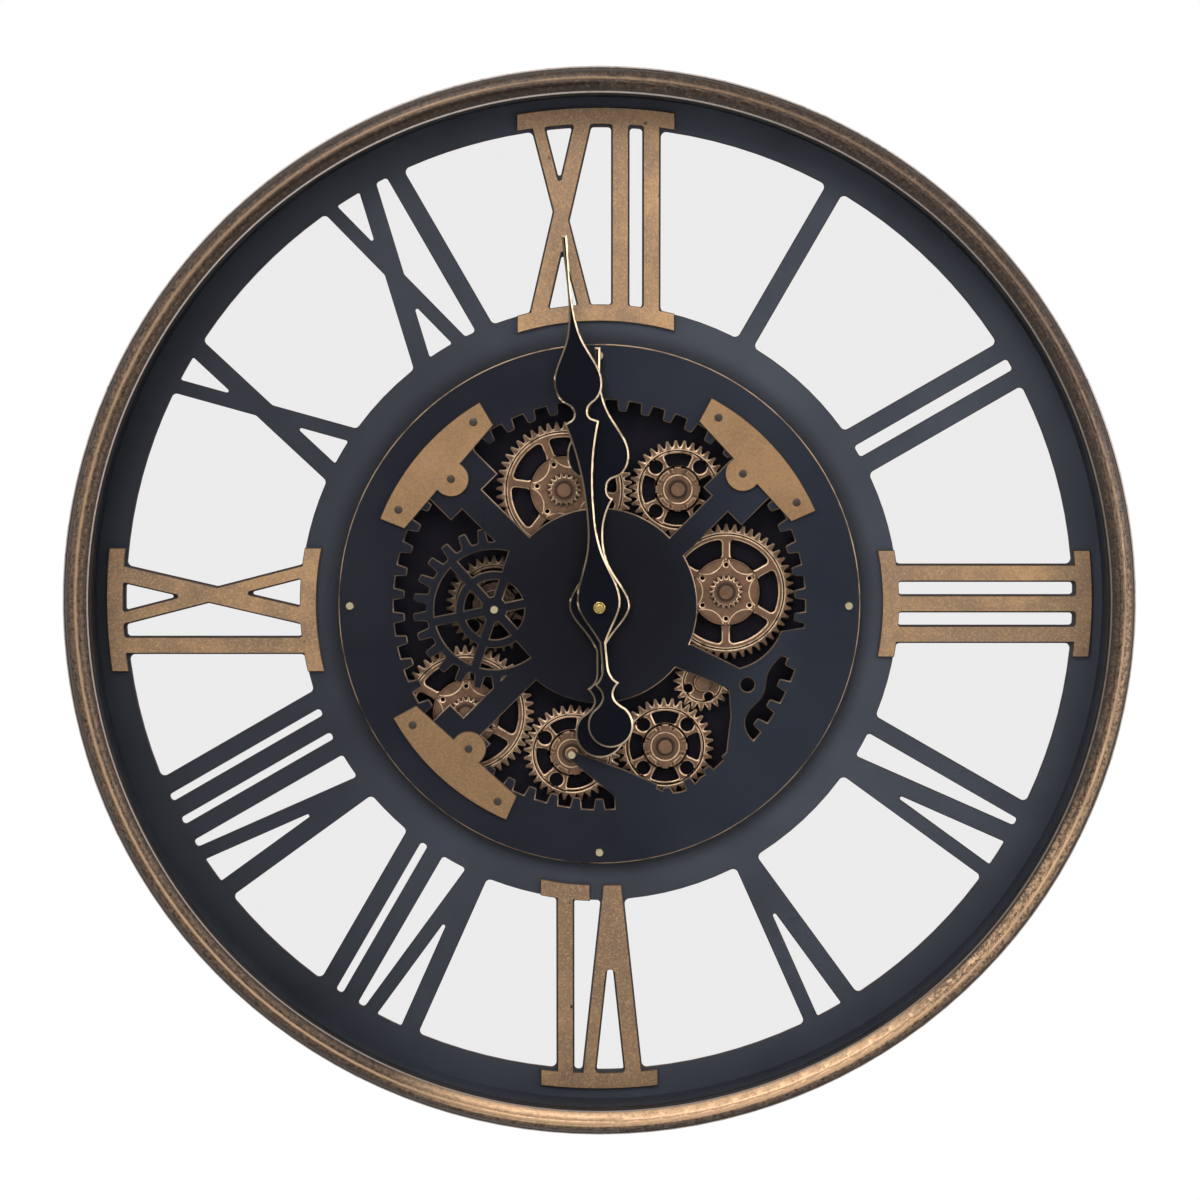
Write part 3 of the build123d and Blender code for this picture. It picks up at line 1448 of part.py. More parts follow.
with BuildPart() as hanger_rivets:
    for side in (-1, 1):
        place = (side * hanger_rivet_spacing / 2, hang_drop)
        rod(place, hanger_rivet_radius, 0.0, cover_front)
        rod(place, hanger_rivet_head, cover_front, cover_front + hanger_rivet_rise)
pieces["hanger_rivets"] = hanger_rivets

# Write every piece
os.makedirs("parts", exist_ok=True)
for label, piece in pieces.items():
    piece.part.label = label
    export_step(piece.part, f"parts/{label}.step")
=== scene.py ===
import json
from math import cos, pi, radians, sin

import bmesh
import bpy
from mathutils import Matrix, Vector


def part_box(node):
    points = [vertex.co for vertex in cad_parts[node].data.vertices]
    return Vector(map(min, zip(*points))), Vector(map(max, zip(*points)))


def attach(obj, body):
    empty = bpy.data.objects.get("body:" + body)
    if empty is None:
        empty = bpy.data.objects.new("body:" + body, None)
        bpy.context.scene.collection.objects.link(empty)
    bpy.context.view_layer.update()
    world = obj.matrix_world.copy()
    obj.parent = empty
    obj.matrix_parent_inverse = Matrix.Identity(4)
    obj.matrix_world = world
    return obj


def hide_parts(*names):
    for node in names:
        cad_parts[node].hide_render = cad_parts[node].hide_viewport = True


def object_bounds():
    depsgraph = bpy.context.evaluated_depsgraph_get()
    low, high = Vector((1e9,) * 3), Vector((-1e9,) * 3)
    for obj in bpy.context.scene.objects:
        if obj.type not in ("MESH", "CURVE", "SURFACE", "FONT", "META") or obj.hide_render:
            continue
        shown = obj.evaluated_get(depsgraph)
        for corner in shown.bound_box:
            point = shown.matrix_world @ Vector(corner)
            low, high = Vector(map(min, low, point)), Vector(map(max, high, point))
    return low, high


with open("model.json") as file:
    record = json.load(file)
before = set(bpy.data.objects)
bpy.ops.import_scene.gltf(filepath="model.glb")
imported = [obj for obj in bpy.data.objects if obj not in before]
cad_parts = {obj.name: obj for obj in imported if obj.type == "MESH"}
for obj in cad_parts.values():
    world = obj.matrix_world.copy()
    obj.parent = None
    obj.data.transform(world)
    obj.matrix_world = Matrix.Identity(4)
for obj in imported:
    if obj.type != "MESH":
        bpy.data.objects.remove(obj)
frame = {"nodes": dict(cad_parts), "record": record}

bl_info = {
    "name": "Skeleton Wall Clock",
    "version": (1, 0, 0),
    "blender": (4, 5, 0),
    "location": "View3D > Sidebar > Clock",
    "description": "Dresses the pieces of a skeleton wall clock with moving gears",
    "category": "Object",
}

# The CAD frame: nodes, the bodies they ride on and the boxes that places are measured from
nodes = frame["nodes"]
bodies = frame["record"]["behaviour"]["bodies"]
body_of_node = {node: body for body, members in bodies.items() for node in members}
cad_low, cad_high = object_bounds()
hoop_low, hoop_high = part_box("rim_hoop")
dial_centre = (hoop_low + hoop_high) / 2
hoop_radius = (hoop_high.x - hoop_low.x) / 2
glass_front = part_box("front_glass")[0].y
centre_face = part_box("centre_dial")[0].y
corner_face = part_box("corner_plate_upper_left")[0].y

# Nodes that are dressed alike
NUMERALS = ("numeral_xii", "numeral_iii", "numeral_vi", "numeral_ix")
CORNERS = ("corner_plate_upper_left", "corner_plate_upper_right", "corner_plate_lower_left")
GEARS = ("gear_right", "gear_upper_right", "gear_upper_left", "gear_idler")
GEARS += ("gear_driver", "gear_bottom", "gear_lower_left", "gear_left")

# Gear behind the fixed dummy gear, painted darker as shade, and how far below its middle the
# dummy's own screw is
GEAR_IN_SHADE = "gear_left"
DUMMY_DROP = 0.0025

# Screws of the centre plate: circle about the dial's axis, turns clockwise from twelve in degrees,
# and gears that have one before their middle
SCREW_CIRCLE = 0.141
SCREW_TURNS = (0.0, 90.0, 180.0, 270.0)
SCREW_GEARS = (GEAR_IN_SHADE, "gear_bottom")

# Corner plates: turns of their middles, and their rivets' radius and turn from there
CORNER_TURNS = (-49.3, 47.2, -137.6)
RIVET_SPOTS = ((0.1256, -15.0), (0.1256, 15.0), (0.1101, 0.0))

# Screw heads: top and slot length as shares of the radius, and the slot's middle of the height
HEAD_TAPER = 0.82
SLOT_REACH = 2.2
SLOT_RISE = 0.95

# Sides of the fasteners' round parts, and seeds of their turns
SHANK_SIDES = 20
SCREW_SIDES = 32
DOME_SIDES = {"Segments": 28, "Rings": 14}
SCREW_SEED = 4
RIVET_SEED = 7

# Black paints: sheen, fixed colours, and where painted light, shade and reflection change them,
# across the dial or out from its axis
FRAME_GLOSS = 0.22
PLATE_GLOSS = 0.09
DULL_GLOSS = 0.05
PLATE_PAINTED_SHEEN = (0.0365, 0.0435, 0.0600)
# The gear plate's black is painted darker than the other blacks, partly as shade
GEAR_PLATE_BLACK = (0.0175, 0.0160, 0.0230)
FRAME_PAINTED_LIGHT_ACROSS = (-0.32, 0.08)
FRAME_PAINTED_SHADOW_RING = (0.159, 0.148)
PLATE_PAINTED_SHEEN_ACROSS = (-0.06, 0.10)
PLATE_PAINTED_REFLECTION_RING = (0.03, 0.11)
WALL_PAINTED_LIGHT_SIDE = (0.3, 0.0, -0.954)

# Edges of the centre plate: its outermost ring, rubbed to bronze, its middle disc, and the side of
# that disc where a highlight is painted
PLATE_OUTER_RING = (0.143, 0.146)
DISC_RADIUS = 0.0525
DISC_HIGHLIGHT_SIDE = (0.94, 0.0, 0.34)

# Side of the dial where painted shade darkens the bronze paint, and from where to where that grows
BRONZE_SHADE_SIDE = (-0.6, 0.0, -0.8)
BRONZE_SHADE_START = -0.8 * dial_centre.z
BRONZE_SHADE_REACH = 0.16

# Rings of painted shade on a gear's hub: from and to, out from the arbor, and strength
HUB_SHADE_RINGS = ((0.0036, 0.0056, 0.8), (0.0056, 0.0085, 0.25))
RING_SOFTNESS = 0.0003

# Reach of the painted shade in a gear's hollows, levels of the painted shade on the gear behind
# the dummy gear, and the name of stored places
HOLLOW_SHADE_REACH = 0.0018
HOLLOW_SHADE_SAMPLES = 8
SHADE_COAT_LEVEL = 0.42
SHADE_EDGE_LEVEL = 0.3
ARBOR_PLACE = "from_arbor"

# Rim: where its front begins, its crest, lip and hollow of painted shade inward of its outer edge,
# and the depth of its outer shoulder
RIM_FRONT = (glass_front + 0.004, glass_front - 0.001)
CREST_INWARD = 0.0076
LIP_INWARD = 0.0145
HOLLOW_INWARD = (0.0149, 0.0153)
SHOULDER_DEPTH = -0.0572

# Sides of the rim that are worn and painted with highlights most, and flecked most
RUBBED_AND_LIT_SIDE = (0.6, 0.0, -0.8)
FLECKED_SIDE = (-0.98, 0.0, -0.2)

# How the crest's line, partly a painted highlight, shifts inward round the rim towards the light,
# and how it and the lip's painted highlight line grow stronger
CREST_HIGHLIGHT_SHIFT = (-0.0006, 0.0, -0.0006)
CREST_HIGHLIGHT_SIDE = (-0.16, 0.0, -0.24)
CREST_LEVEL = 0.42
LIP_HIGHLIGHT_SIDE = (-0.22, 0.0, 0.0)
LIP_LEVEL = 0.5

# Broad bands of the rim, rubbed bronze and painted highlight on slopes that face the light: side,
# how squarely a spot lies on it, from and to inward of the outer edge, strength, and what breaks
# the band up
RUBBED_AND_LIT_BANDS = (
    ((0.18, 0.0, -0.984), (0.80, 0.95), 0.0062, 0.0140, 1.0, "streaks"),
    ((0.72, 0.0, -0.69), (0.90, 0.985), 0.0058, 0.0128, 0.62, "grit"),
    ((0.93, 0.0, -0.37), (0.86, 0.97), 0.0032, 0.0072, 0.42, "grit"),
)
BAND_SOFTNESS = 0.0006
RUBBED_BROWN = (0.42, 0.27, 0.165)

# Scale of the rim's streaks, round it and across it
STREAKS_ROUND = (9.0, 9.0, 9.0)
STREAKS_ACROSS = 220.0

# Metals: colour or the setting that holds it, least roughness, and fineness of the scratches
METALS = {
    "polished_brass": ("brass", 0.14, 1400.0),
    "plain_steel": ("steel", 0.24, 900.0),
    "dark_rivet_steel": ((0.10, 0.085, 0.07), 0.34, 1200.0),
    "screw_brass": ((0.72, 0.62, 0.40), 0.2, 1200.0),
}

# Moulded finishes: colour, least roughness, and fineness and strength of the grain
MOULDED = {
    "black_plastic": ((0.018, 0.018, 0.019), 0.42, 1400.0, 0.35),
    "white_plastic": ((0.62, 0.60, 0.56), 0.38, 1200.0, 0.2),
    "gasket_rubber": ((0.012, 0.012, 0.012), 0.6, 800.0, 0.3),
    "board_lacquer": ((0.03, 0.16, 0.06), 0.3, 700.0, 0.2),
    "wire_red": ((0.36, 0.025, 0.02), 0.4, 900.0, 0.1),
}

# Length of sleeve over which the cells' two tones repeat
SLEEVE_REPEAT = 0.0505

# Slopes of the gears' and the cap's edges, as shares of their width
GEAR_SLOPE = 0.7
CAP_SLOPE = 0.6

# Limits of a face normal's part along the depth, for fronts, backs, flat faces and walls
FRONT = -0.99
BACK = 0.9
FLAT = 0.999
WALL = 0.3

# Angle in degrees beyond which an edge is kept sharp, on cut sheets and on round shells
SHEET_SHARPNESS = 32.0
SHELL_SHARPNESS = 40.0

# Stage: what the camera looks at, where that is in the picture, and the floor
TARGET = Vector((dial_centre.x, -0.034, dial_centre.z))
TARGET_PIXEL = (599.4, 605.2)
FRAME_PIXELS = 1200
SENSOR_WIDTH = 36.0
FLOOR_RADIUS = 1.7
FLOOR_FADE = (0.5 * FLOOR_RADIUS, 0.98 * FLOOR_RADIUS)
FLOOR_SIDES = 96
WHITE = (1.0, 1.0, 1.0, 1.0)

# Lamps: name, place, width and the setting that holds the power
LAMPS = (
    ("key_lamp", (1.5, -2.1, 1.5), 1.3, "key_power"),
    ("fill_lamp", (-1.9, -1.5, 0.6), 1.0, "fill_power"),
    ("side_lamp", (2.3, -0.9, 0.3), 0.8, "side_power"),
    ("top_lamp", (-0.35, -0.95, 0.95), 0.6, "top_power"),
)


# Settings that a user would change
def colour_setting(label, words, default):
    """A colour property with its name, description and default."""
    return bpy.props.FloatVectorProperty(
        name=label, description=words, default=default, size=3, subtype="COLOR", min=0.0, max=1.0
    )


def number_setting(label, words, default, **kind):
    """A number property with its name, description, default and unit."""
    return bpy.props.FloatProperty(name=label, description=words, default=default, **kind)


def length_setting(label, words, default):
    """A length property in metres."""
    return number_setting(label, words, default, min=0.0, unit="LENGTH", precision=5)


def power_setting(label, default):
    """A lamp's power in watts."""
    return number_setting(label, "Power of the " + label.lower(), default, unit="POWER")


class ClockFinishes(bpy.types.PropertyGroup):
    """Colours of the clock's finishes"""

    frame_black: colour_setting("Frame black", "Dial frame and case", (0.0445, 0.0505, 0.064))
    centre_black: colour_setting("Centre black", "Centre plate", (0.0250, 0.0260, 0.0375))
    hand_black: colour_setting("Hand black", "Paint of the hands", (0.0080, 0.0085, 0.0145))
    bronze: colour_setting("Bronze", "Paint of the raised numerals", (0.84, 0.515, 0.245))
    bronze_shade: colour_setting("Bronze shade", "Darker patches of it", (0.43, 0.28, 0.17))
    corner_bronze: colour_setting("Corner bronze", "Corner plates", (0.53, 0.315, 0.15))
    gear_bronze: colour_setting("Gear bronze", "Coat of the gears", (0.23, 0.126, 0.070))
    gear_edge: colour_setting("Gear edge", "Rubbed edges of the gears", (0.95, 0.67, 0.43))
    gold: colour_setting("Gold", "Edge of the hands", (1.0, 0.80, 0.55))
    rim_dark: colour_setting("Rim dark", "Dark bands of the rim", (0.033, 0.0215, 0.0160))
    # Rim bright is both the rubbed bronze and the painted highlights of the rim; rim line colours
    # its painted highlight lines
    rim_bright: colour_setting("Rim bright", "Rubbed crest of the rim", (0.70, 0.45, 0.265))
    rim_line: colour_setting("Rim line", "Pale lines of the rim", (0.58, 0.50, 0.45))
    brass: colour_setting("Brass", "Hand cap and movement", (0.60, 0.44, 0.15))
    steel: colour_setting("Steel", "Screws and fittings", (0.60, 0.585, 0.56))


class ClockSizes(bpy.types.PropertyGroup):
    """Edge widths and fastener sizes"""

    hand_edge: length_setting("Hand edge", "Width of the gold edge of the hands", 0.0010)
    hand_drop: length_setting("Hand edge drop", "How far the gold edge slopes back", 0.0007)
    cap_edge: length_setting("Cap edge", "Width of the sloped edge of the hand cap", 0.0011)
    plate_edge: length_setting("Plate edge", "Width of the centre plate's bronze edge", 0.0006)
    frame_edge: length_setting("Frame edge", "Width of the dial frame's sloped edge", 0.0004)
    numeral_edge: length_setting("Numeral edge", "Width of the numerals' sloped edge", 0.0004)
    gear_edge: length_setting("Gear edge", "Width of the rubbed edge of the gears", 0.0007)
    screw_radius: length_setting("Screw head radius", "Radius of the dial screw heads", 0.0025)
    screw_height: length_setting("Screw head height", "Height of the dial screw heads", 0.0012)
    screw_slot: length_setting("Screw slot", "Width of the slot in a screw head", 0.0007)
    screw_shank: length_setting("Screw shank", "Radius of the dial screws' shanks", 0.00125)
    rivet_radius: length_setting("Rivet head radius", "Radius of the rivets' heads", 0.0023)
    rivet_rise: length_setting("Rivet rise", "Height of the corner rivets' heads", 0.0006)
    rivet_shank: length_setting("Rivet shank", "Radius of the rivets' shanks", 0.0014)


class ClockStage(bpy.types.PropertyGroup):
    """Camera, lamps and floor"""

    camera_rise: number_setting("Camera rise", "Above the dial", radians(5.3), subtype="ANGLE")
    camera_distance: length_setting("Camera distance", "From the dial to the camera", 1.69)
    camera_lens: number_setting("Lens", "Length on a 36 mm sensor", 89.49, unit="CAMERA")
    key_power: power_setting("Key lamp", 16.0)
    fill_power: power_setting("Fill lamp", 4.0)
    side_power: power_setting("Side lamp", 18.0)
    top_power: power_setting("Top lamp", 9.0)
    sky_level: number_setting("Sky level", "Soft light all round", 0.4, subtype="FACTOR")
    floor_drop: length_setting("Floor drop", "From the clock's lowest point to the floor", 0.6)


def colour_of(name):
    """One of the colours in the settings."""
    return tuple(getattr(bpy.context.scene.clock_finishes, name))


# Helpers for node trees
def put(kind, inputs, tree=None, **options):
    """Adds a node to a tree, or to its inputs' own, and fills its inputs with values or links."""
    sockets = [name for name, value in inputs.items() if isinstance(value, bpy.types.NodeSocket)]
    tree = tree or inputs[sockets[0]].id_data
    made = tree.nodes.new(kind)
    for name, value in options.items():
        setattr(made, name, value)
    for name, value in inputs.items():
        if name in sockets:
            tree.links.new(value, made.inputs[name])
        else:
            made.inputs[name].default_value = value
    return made


def calc(operation, *values):
    """Result of a math node."""
    return put("ShaderNodeMath", dict(enumerate(values)), operation=operation).outputs[0]


def times(first, second):
    """Product of two values."""
    return calc("MULTIPLY", first, second)


def off(value, middle):
    """How far a value is from a middle."""
    return calc("ABSOLUTE", calc("SUBTRACT", value, middle))


def at_least(share, floor):
    """Share from 0 to 1, squeezed between a floor and 1."""
    return calc("MULTIPLY_ADD", share, 1.0 - floor, floor)


def span(value, low, high):
    """Smooth 0 to 1 as a value goes from low to high."""
    inputs = {"Value": value, "From Min": low, "From Max": high}
    made = put("ShaderNodeMapRange", inputs, interpolation_type="SMOOTHSTEP")
    return made.outputs["Result"]


def banded(value, low, high, softness):
    """1 where a value lies between low and high, with soft edges."""
    half = (high - low) / 2
    return span(off(value, (low + high) / 2), half + softness, half - softness)


def ramp(share, low, high):
    """Value that goes straight from low to high as a share goes from 0 to 1."""
    inputs = {"Value": share, "To Min": low, "To Max": high}
    return put("ShaderNodeMapRange", inputs).outputs["Result"]


def vector(operation, *values):
    """Result of a vector math node: a number for a length or a dot product, or a vector."""
    made = put("ShaderNodeVectorMath", dict(enumerate(values)), operation=operation)
    return made.outputs["Value" if operation in ("LENGTH", "DOT_PRODUCT") else "Vector"]


def on_side(place, side):
    """How far a place lies towards a side."""
    return vector("DOT_PRODUCT", place, side)


def joined(tree, **parts):
    """Vector with these parts along X, Y or Z."""
    return put("ShaderNodeCombineXYZ", parts, tree).outputs["Vector"]


def along(place, axis):
    """Coordinate of a place along an axis."""
    return put("ShaderNodeSeparateXYZ", {"Vector": place}).outputs[axis]


def speckle(place, scale, detail=3.0, roughness=0.55):
    """Noise value at a place."""
    inputs = {"Vector": place, "Scale": scale, "Detail": detail, "Roughness": roughness}
    return put("ShaderNodeTexNoise", inputs).outputs["Fac"]


def mixed(share, first, second):
    """Colour between two, by a share from 0 to 1."""
    inputs = {0: share}
    for socket, colour in ((6, first), (7, second)):
        inputs[socket] = (*colour, 1.0) if isinstance(colour, tuple) else colour
    return put("ShaderNodeMix", inputs, data_type="RGBA").outputs[2]


def bumped(height, strength, distance):
    """Surface normal for a height."""
    inputs = {"Height": height, "Strength": strength, "Distance": distance}
    return put("ShaderNodeBump", inputs).outputs["Normal"]


def shaded(colour, factor):
    """A colour made lighter or darker."""
    return tuple(min(1.0, part * factor) for part in colour)


def polar(place):
    """Radius about the dial's axis, and a seamless place that runs round it."""
    centred = vector("SUBTRACT", place, dial_centre)
    flat = vector("MULTIPLY", centred, (1.0, 0.0, 1.0))
    return vector("LENGTH", flat), vector("NORMALIZE", flat)


def principled(colour, rough, metallic=0.0, gloss=0.5, normal=None):
    """Output of a Principled shader."""
    inputs = {"Base Color": colour, "Roughness": rough, "Metallic": metallic}
    inputs["Specular IOR Level"] = gloss
    if normal is not None:
        inputs["Normal"] = normal
    return put("ShaderNodeBsdfPrincipled", inputs).outputs["BSDF"]


finishes = {}


def finish(name):
    """Decorator: the material is made once, by a function that fills its node tree."""

    def wrap(fill):
        def made():
            if name not in finishes:
                material = bpy.data.materials.new(name)
                material.use_nodes = True
                tree = material.node_tree
                tree.nodes.clear()
                place = tree.nodes.new("ShaderNodeTexCoord").outputs["Object"]
                put("ShaderNodeOutputMaterial", {"Surface": fill(place)})
                finishes[name] = material
            return finishes[name]

        return made

    return wrap


# Black paints and the edges of the sheets
def satin(place, black, gloss):
    """Satin paint with a faint cloud in its colour and sheen, and a fine grain."""
    cloud = speckle(place, 14.0)
    level = ramp(cloud, 0.55, 1.45)
    tint = put("ShaderNodeVectorMath", {0: black, "Scale": level}, operation="SCALE")
    normal = bumped(speckle(place, 420.0, 2.0), 0.02, 0.00003)
    rough = ramp(cloud, 0.4, 0.52)
    return principled(tint.outputs["Vector"], rough, gloss=gloss, normal=normal)


@finish("frame_black_paint")
def frame_black(place):
    """Black of the dial frame and the case, with painted light making it paler to the right and a
    painted shadow of the centre plate darkening it beside that plate.
    """
    black = colour_of("frame_black")
    # Painted light: the black grows paler towards the right
    to_right = span(along(place, "X"), *FRAME_PAINTED_LIGHT_ACROSS)
    colour = mixed(to_right, shaded(black, 0.66), shaded(black, 1.75))
    # Painted shadow of the raised centre plate, on the ring beside it
    radius, _ = polar(place)
    plate_shadow = times(span(radius, *FRAME_PAINTED_SHADOW_RING), 0.7)
    colour = mixed(plate_shadow, colour, shaded(black, 0.4))
    return satin(place, colour, FRAME_GLOSS)


@finish("liner_black_paint")
def liner_black(place):
    """Darker black of the wall inside the rim, with painted light making it palest at the bottom.
    """
    black = colour_of("frame_black")
    _, round_it = polar(place)
    # Painted light: the wall is palest where it faces the light, at the bottom
    pale = span(on_side(round_it, WALL_PAINTED_LIGHT_SIDE), -0.6, 0.8)
    colour = mixed(pale, shaded(black, 0.3), shaded(black, 0.95))
    return satin(place, colour, FRAME_GLOSS)


@finish("centre_black_paint")
def centre_black(place):
    """Deeper black of the centre plate, with a painted dark reflection deepest at its middle and a
    painted sheen to the right.
    """
    black = colour_of("centre_black")
    radius, _ = polar(place)
    # Painted sheen towards the right, and a painted dark reflection that deepens towards the
    # middle
    to_right = span(along(place, "X"), *PLATE_PAINTED_SHEEN_ACROSS)
    outer = mixed(to_right, black, PLATE_PAINTED_SHEEN)
    colour = mixed(span(radius, *PLATE_PAINTED_REFLECTION_RING), shaded(black, 0.5), outer)
    return satin(place, colour, PLATE_GLOSS)


@finish("hand_black_paint")
def hand_black(place):
    """Black face of the hands."""
    return satin(place, colour_of("hand_black"), DULL_GLOSS)


@finish("deep_black_paint")
def deep_black(place):
    """Flat black of the plate behind the gears, painted darker than the other blacks as shade."""
    return satin(place, GEAR_PLATE_BLACK, DULL_GLOSS)


def cut_edge(place, scale, dark, pale, rough):
    """Cut edge of a painted sheet, brown in patches."""
    colour = mixed(speckle(place, scale), dark, pale)
    return principled(colour, rough, metallic=0.3)


@finish("dark_brown_edge")
def brown_edge(place):
    """Cut edge of the dial frame, where brown shows through."""
    return cut_edge(place, 90.0, (0.02, 0.014, 0.012), (0.075, 0.046, 0.034), 0.45)


@finish("numeral_edge_paint")
def numeral_edge(place):
    """Dark brown sides of the bronze plates."""
    return cut_edge(place, 120.0, (0.045, 0.03, 0.022), (0.15, 0.092, 0.055), 0.5)


@finish("bronze_edge")
def bronze_edge(place):
    """Edge of the centre plate, bare bronze from wear at its outer ring, with a painted highlight
    on the lit side of its middle disc.
    """
    bright = colour_of("gear_edge")
    radius, round_it = polar(place)
    at_disc = span(off(radius, DISC_RADIUS), 0.004, 0.002)
    # Painted highlight on the side of the middle disc that faces the light
    disc_highlight = span(on_side(round_it, DISC_HIGHLIGHT_SIDE), -0.3, 0.3)
    at_ring = span(radius, *PLATE_OUTER_RING)
    wear_and_highlight = calc("MAXIMUM", times(at_disc, disc_highlight), at_ring)
    wear_and_light = mixed(wear_and_highlight, shaded(bright, 0.26), bright)
    patches = span(speckle(place, 60.0, 4.0), 0.25, 0.6)
    colour = mixed(patches, (0.06, 0.05, 0.044), wear_and_light)
    return principled(colour, 0.42, metallic=0.6)


# Bronze paint of the numerals and corner plates
def mottled(place, main, shade, pits):
    """Bronze paint with soft patches, painted shade towards one side, a fine grain and a few dark
    pits.
    """
    patches = speckle(place, 42.0, 4.0, 0.6)
    clouds = speckle(place, 9.0, 2.0)
    share = times(span(patches, 0.34, 0.68), span(clouds, 0.25, 0.6))
    colour = mixed(share, shade, main)
    # Painted shade: the bronze grows darker towards the lower left
    towards = on_side(place, BRONZE_SHADE_SIDE)
    side_shade = span(towards, BRONZE_SHADE_START, BRONZE_SHADE_START + BRONZE_SHADE_REACH)
    colour = mixed(times(side_shade, 0.55), colour, shaded(shade, 0.62))
    grain = speckle(place, 900.0, 3.0, 0.7)
    pale_grain = times(span(grain, 0.5, 0.66), 0.42)
    colour = mixed(pale_grain, colour, shaded(main, 1.2))
    dark_grain = times(span(grain, 0.48, 0.32), 0.36)
    colour = mixed(dark_grain, colour, shaded(shade, 0.55))
    cells = put("ShaderNodeTexVoronoi", {"Vector": place, "Scale": 85.0, "Randomness": 1.0})
    chance = span(speckle(place, 70.0, 1.0), 1.0 - pits, 1.05 - pits)
    spot = times(span(cells.outputs["Distance"], 0.13, 0.05), chance)
    colour = mixed(spot, colour, (0.06, 0.035, 0.022))
    normal = bumped(calc("SUBTRACT", grain, times(spot, 1.5)), 0.25, 0.00012)
    return principled(colour, ramp(patches, 0.42, 0.6), metallic=0.25, normal=normal)


@finish("mottled_bronze_paint")
def bronze_paint(place):
    """Paint of the raised numerals."""
    return mottled(place, colour_of("bronze"), colour_of("bronze_shade"), 0.42)


@finish("corner_bronze_paint")
def corner_paint(place):
    """Paint of the corner plates, more even than the numerals' and with fewer pits."""
    main = colour_of("corner_bronze")
    return mottled(place, main, shaded(main, 0.78), 0.3)


# Coats of the gears and the gold of the hands
def from_arbor(tree):
    """Distance out from a gear's arbor, and the gear's own radius."""
    place = put("ShaderNodeAttribute", {}, tree, attribute_name=ARBOR_PLACE).outputs["Vector"]
    flat = vector("MULTIPLY", place, (1.0, 0.0, 1.0))
    return vector("LENGTH", flat), along(place, "Y")


def coated(place, coat):
    """Metallic coat in small patches, with painted shade in rings round the arbor and in the
    hollows.
    """
    patches = span(speckle(place, 160.0, 4.0, 0.6), 0.25, 0.75)
    colour = mixed(patches, shaded(coat, 0.75), shaded(coat, 1.3))
    out, _ = from_arbor(place.id_data)
    # Painted shade in rings round the arbor
    for low, high, strength in HUB_SHADE_RINGS:
        ring_shade = times(banded(out, low, high, RING_SOFTNESS), strength)
        colour = mixed(ring_shade, colour, shaded(coat, 0.12))
    # Painted shade in the hollows, from ambient occlusion
    near = put("ShaderNodeAmbientOcclusion", {"Distance": HOLLOW_SHADE_REACH}, place.id_data)
    near.samples = HOLLOW_SHADE_SAMPLES
    near.only_local = True
    hollow = span(near.outputs["AO"], 0.95, 0.5)
    colour = mixed(hollow, colour, shaded(coat, 0.16))
    normal = bumped(speckle(place, 1500.0, 2.0), 0.2, 0.00006)
    return principled(colour, 0.4, metallic=0.35, normal=normal)


def edge_wear_and_tip_shade(place, bright):
    """Bare metal edge, brighter in places from wear, with painted shade dulling it at the tips of
    the teeth.
    """
    patches = span(speckle(place, 220.0), 0.25, 0.55)
    out, tip = from_arbor(place.id_data)
    # Painted shade: the edge is dull at the tips of the teeth
    inside = span(calc("DIVIDE", out, tip), 0.93, 0.86)
    wear_and_light = times(patches, at_least(inside, 0.12))
    colour = mixed(wear_and_light, shaded(bright, 0.22), bright)
    return principled(colour, 0.45, metallic=0.6)


@finish("gear_bronze_coat")
def gear_coat(place):
    """Copper-bronze coat of the gears."""
    return coated(place, colour_of("gear_bronze"))


@finish("gear_edge_coat")
def gear_edge(place):
    """Rubbed bright edges of the gears, with painted shade at the tips of the teeth."""
    return edge_wear_and_tip_shade(place, colour_of("gear_edge"))


@finish("dim_gear_coat")
def dim_gear_coat(place):
    """Coat of the gear behind the dummy gear, darker as painted shade."""
    return coated(place, shaded(colour_of("gear_bronze"), SHADE_COAT_LEVEL))


@finish("dim_gear_edge")
def dim_gear_edge(place):
    """Edges of the gear behind the dummy gear, darker as painted shade."""
    return edge_wear_and_tip_shade(place, shaded(colour_of("gear_edge"), SHADE_EDGE_LEVEL))


@finish("hand_gold_edge")
def gold_edge(place):
    """Gold edge of the hands, painted bright in patches on the right-facing slopes and dark brown
    on the left-facing ones, as light and shade.
    """
    gold = colour_of("gold")
    # Painted light and shade: right-facing slopes bright, left-facing slopes dark brown
    to_right = span(along(place.node.outputs["Normal"], "X"), -0.45, 0.3)
    patches = span(speckle(place, 120.0), 0.1, 0.5)
    colour = mixed(times(to_right, patches), shaded(gold, 0.24), gold)
    return principled(colour, 0.46, metallic=1.0)


# Paint of the rim
def brushed(round_it, across):
    """Place that is stretched round the rim, so that noise there makes streaks."""
    run = vector("MULTIPLY", round_it, STREAKS_ROUND)
    lift = joined(across.id_data, Y=times(across, STREAKS_ACROSS))
    return vector("ADD", run, lift)


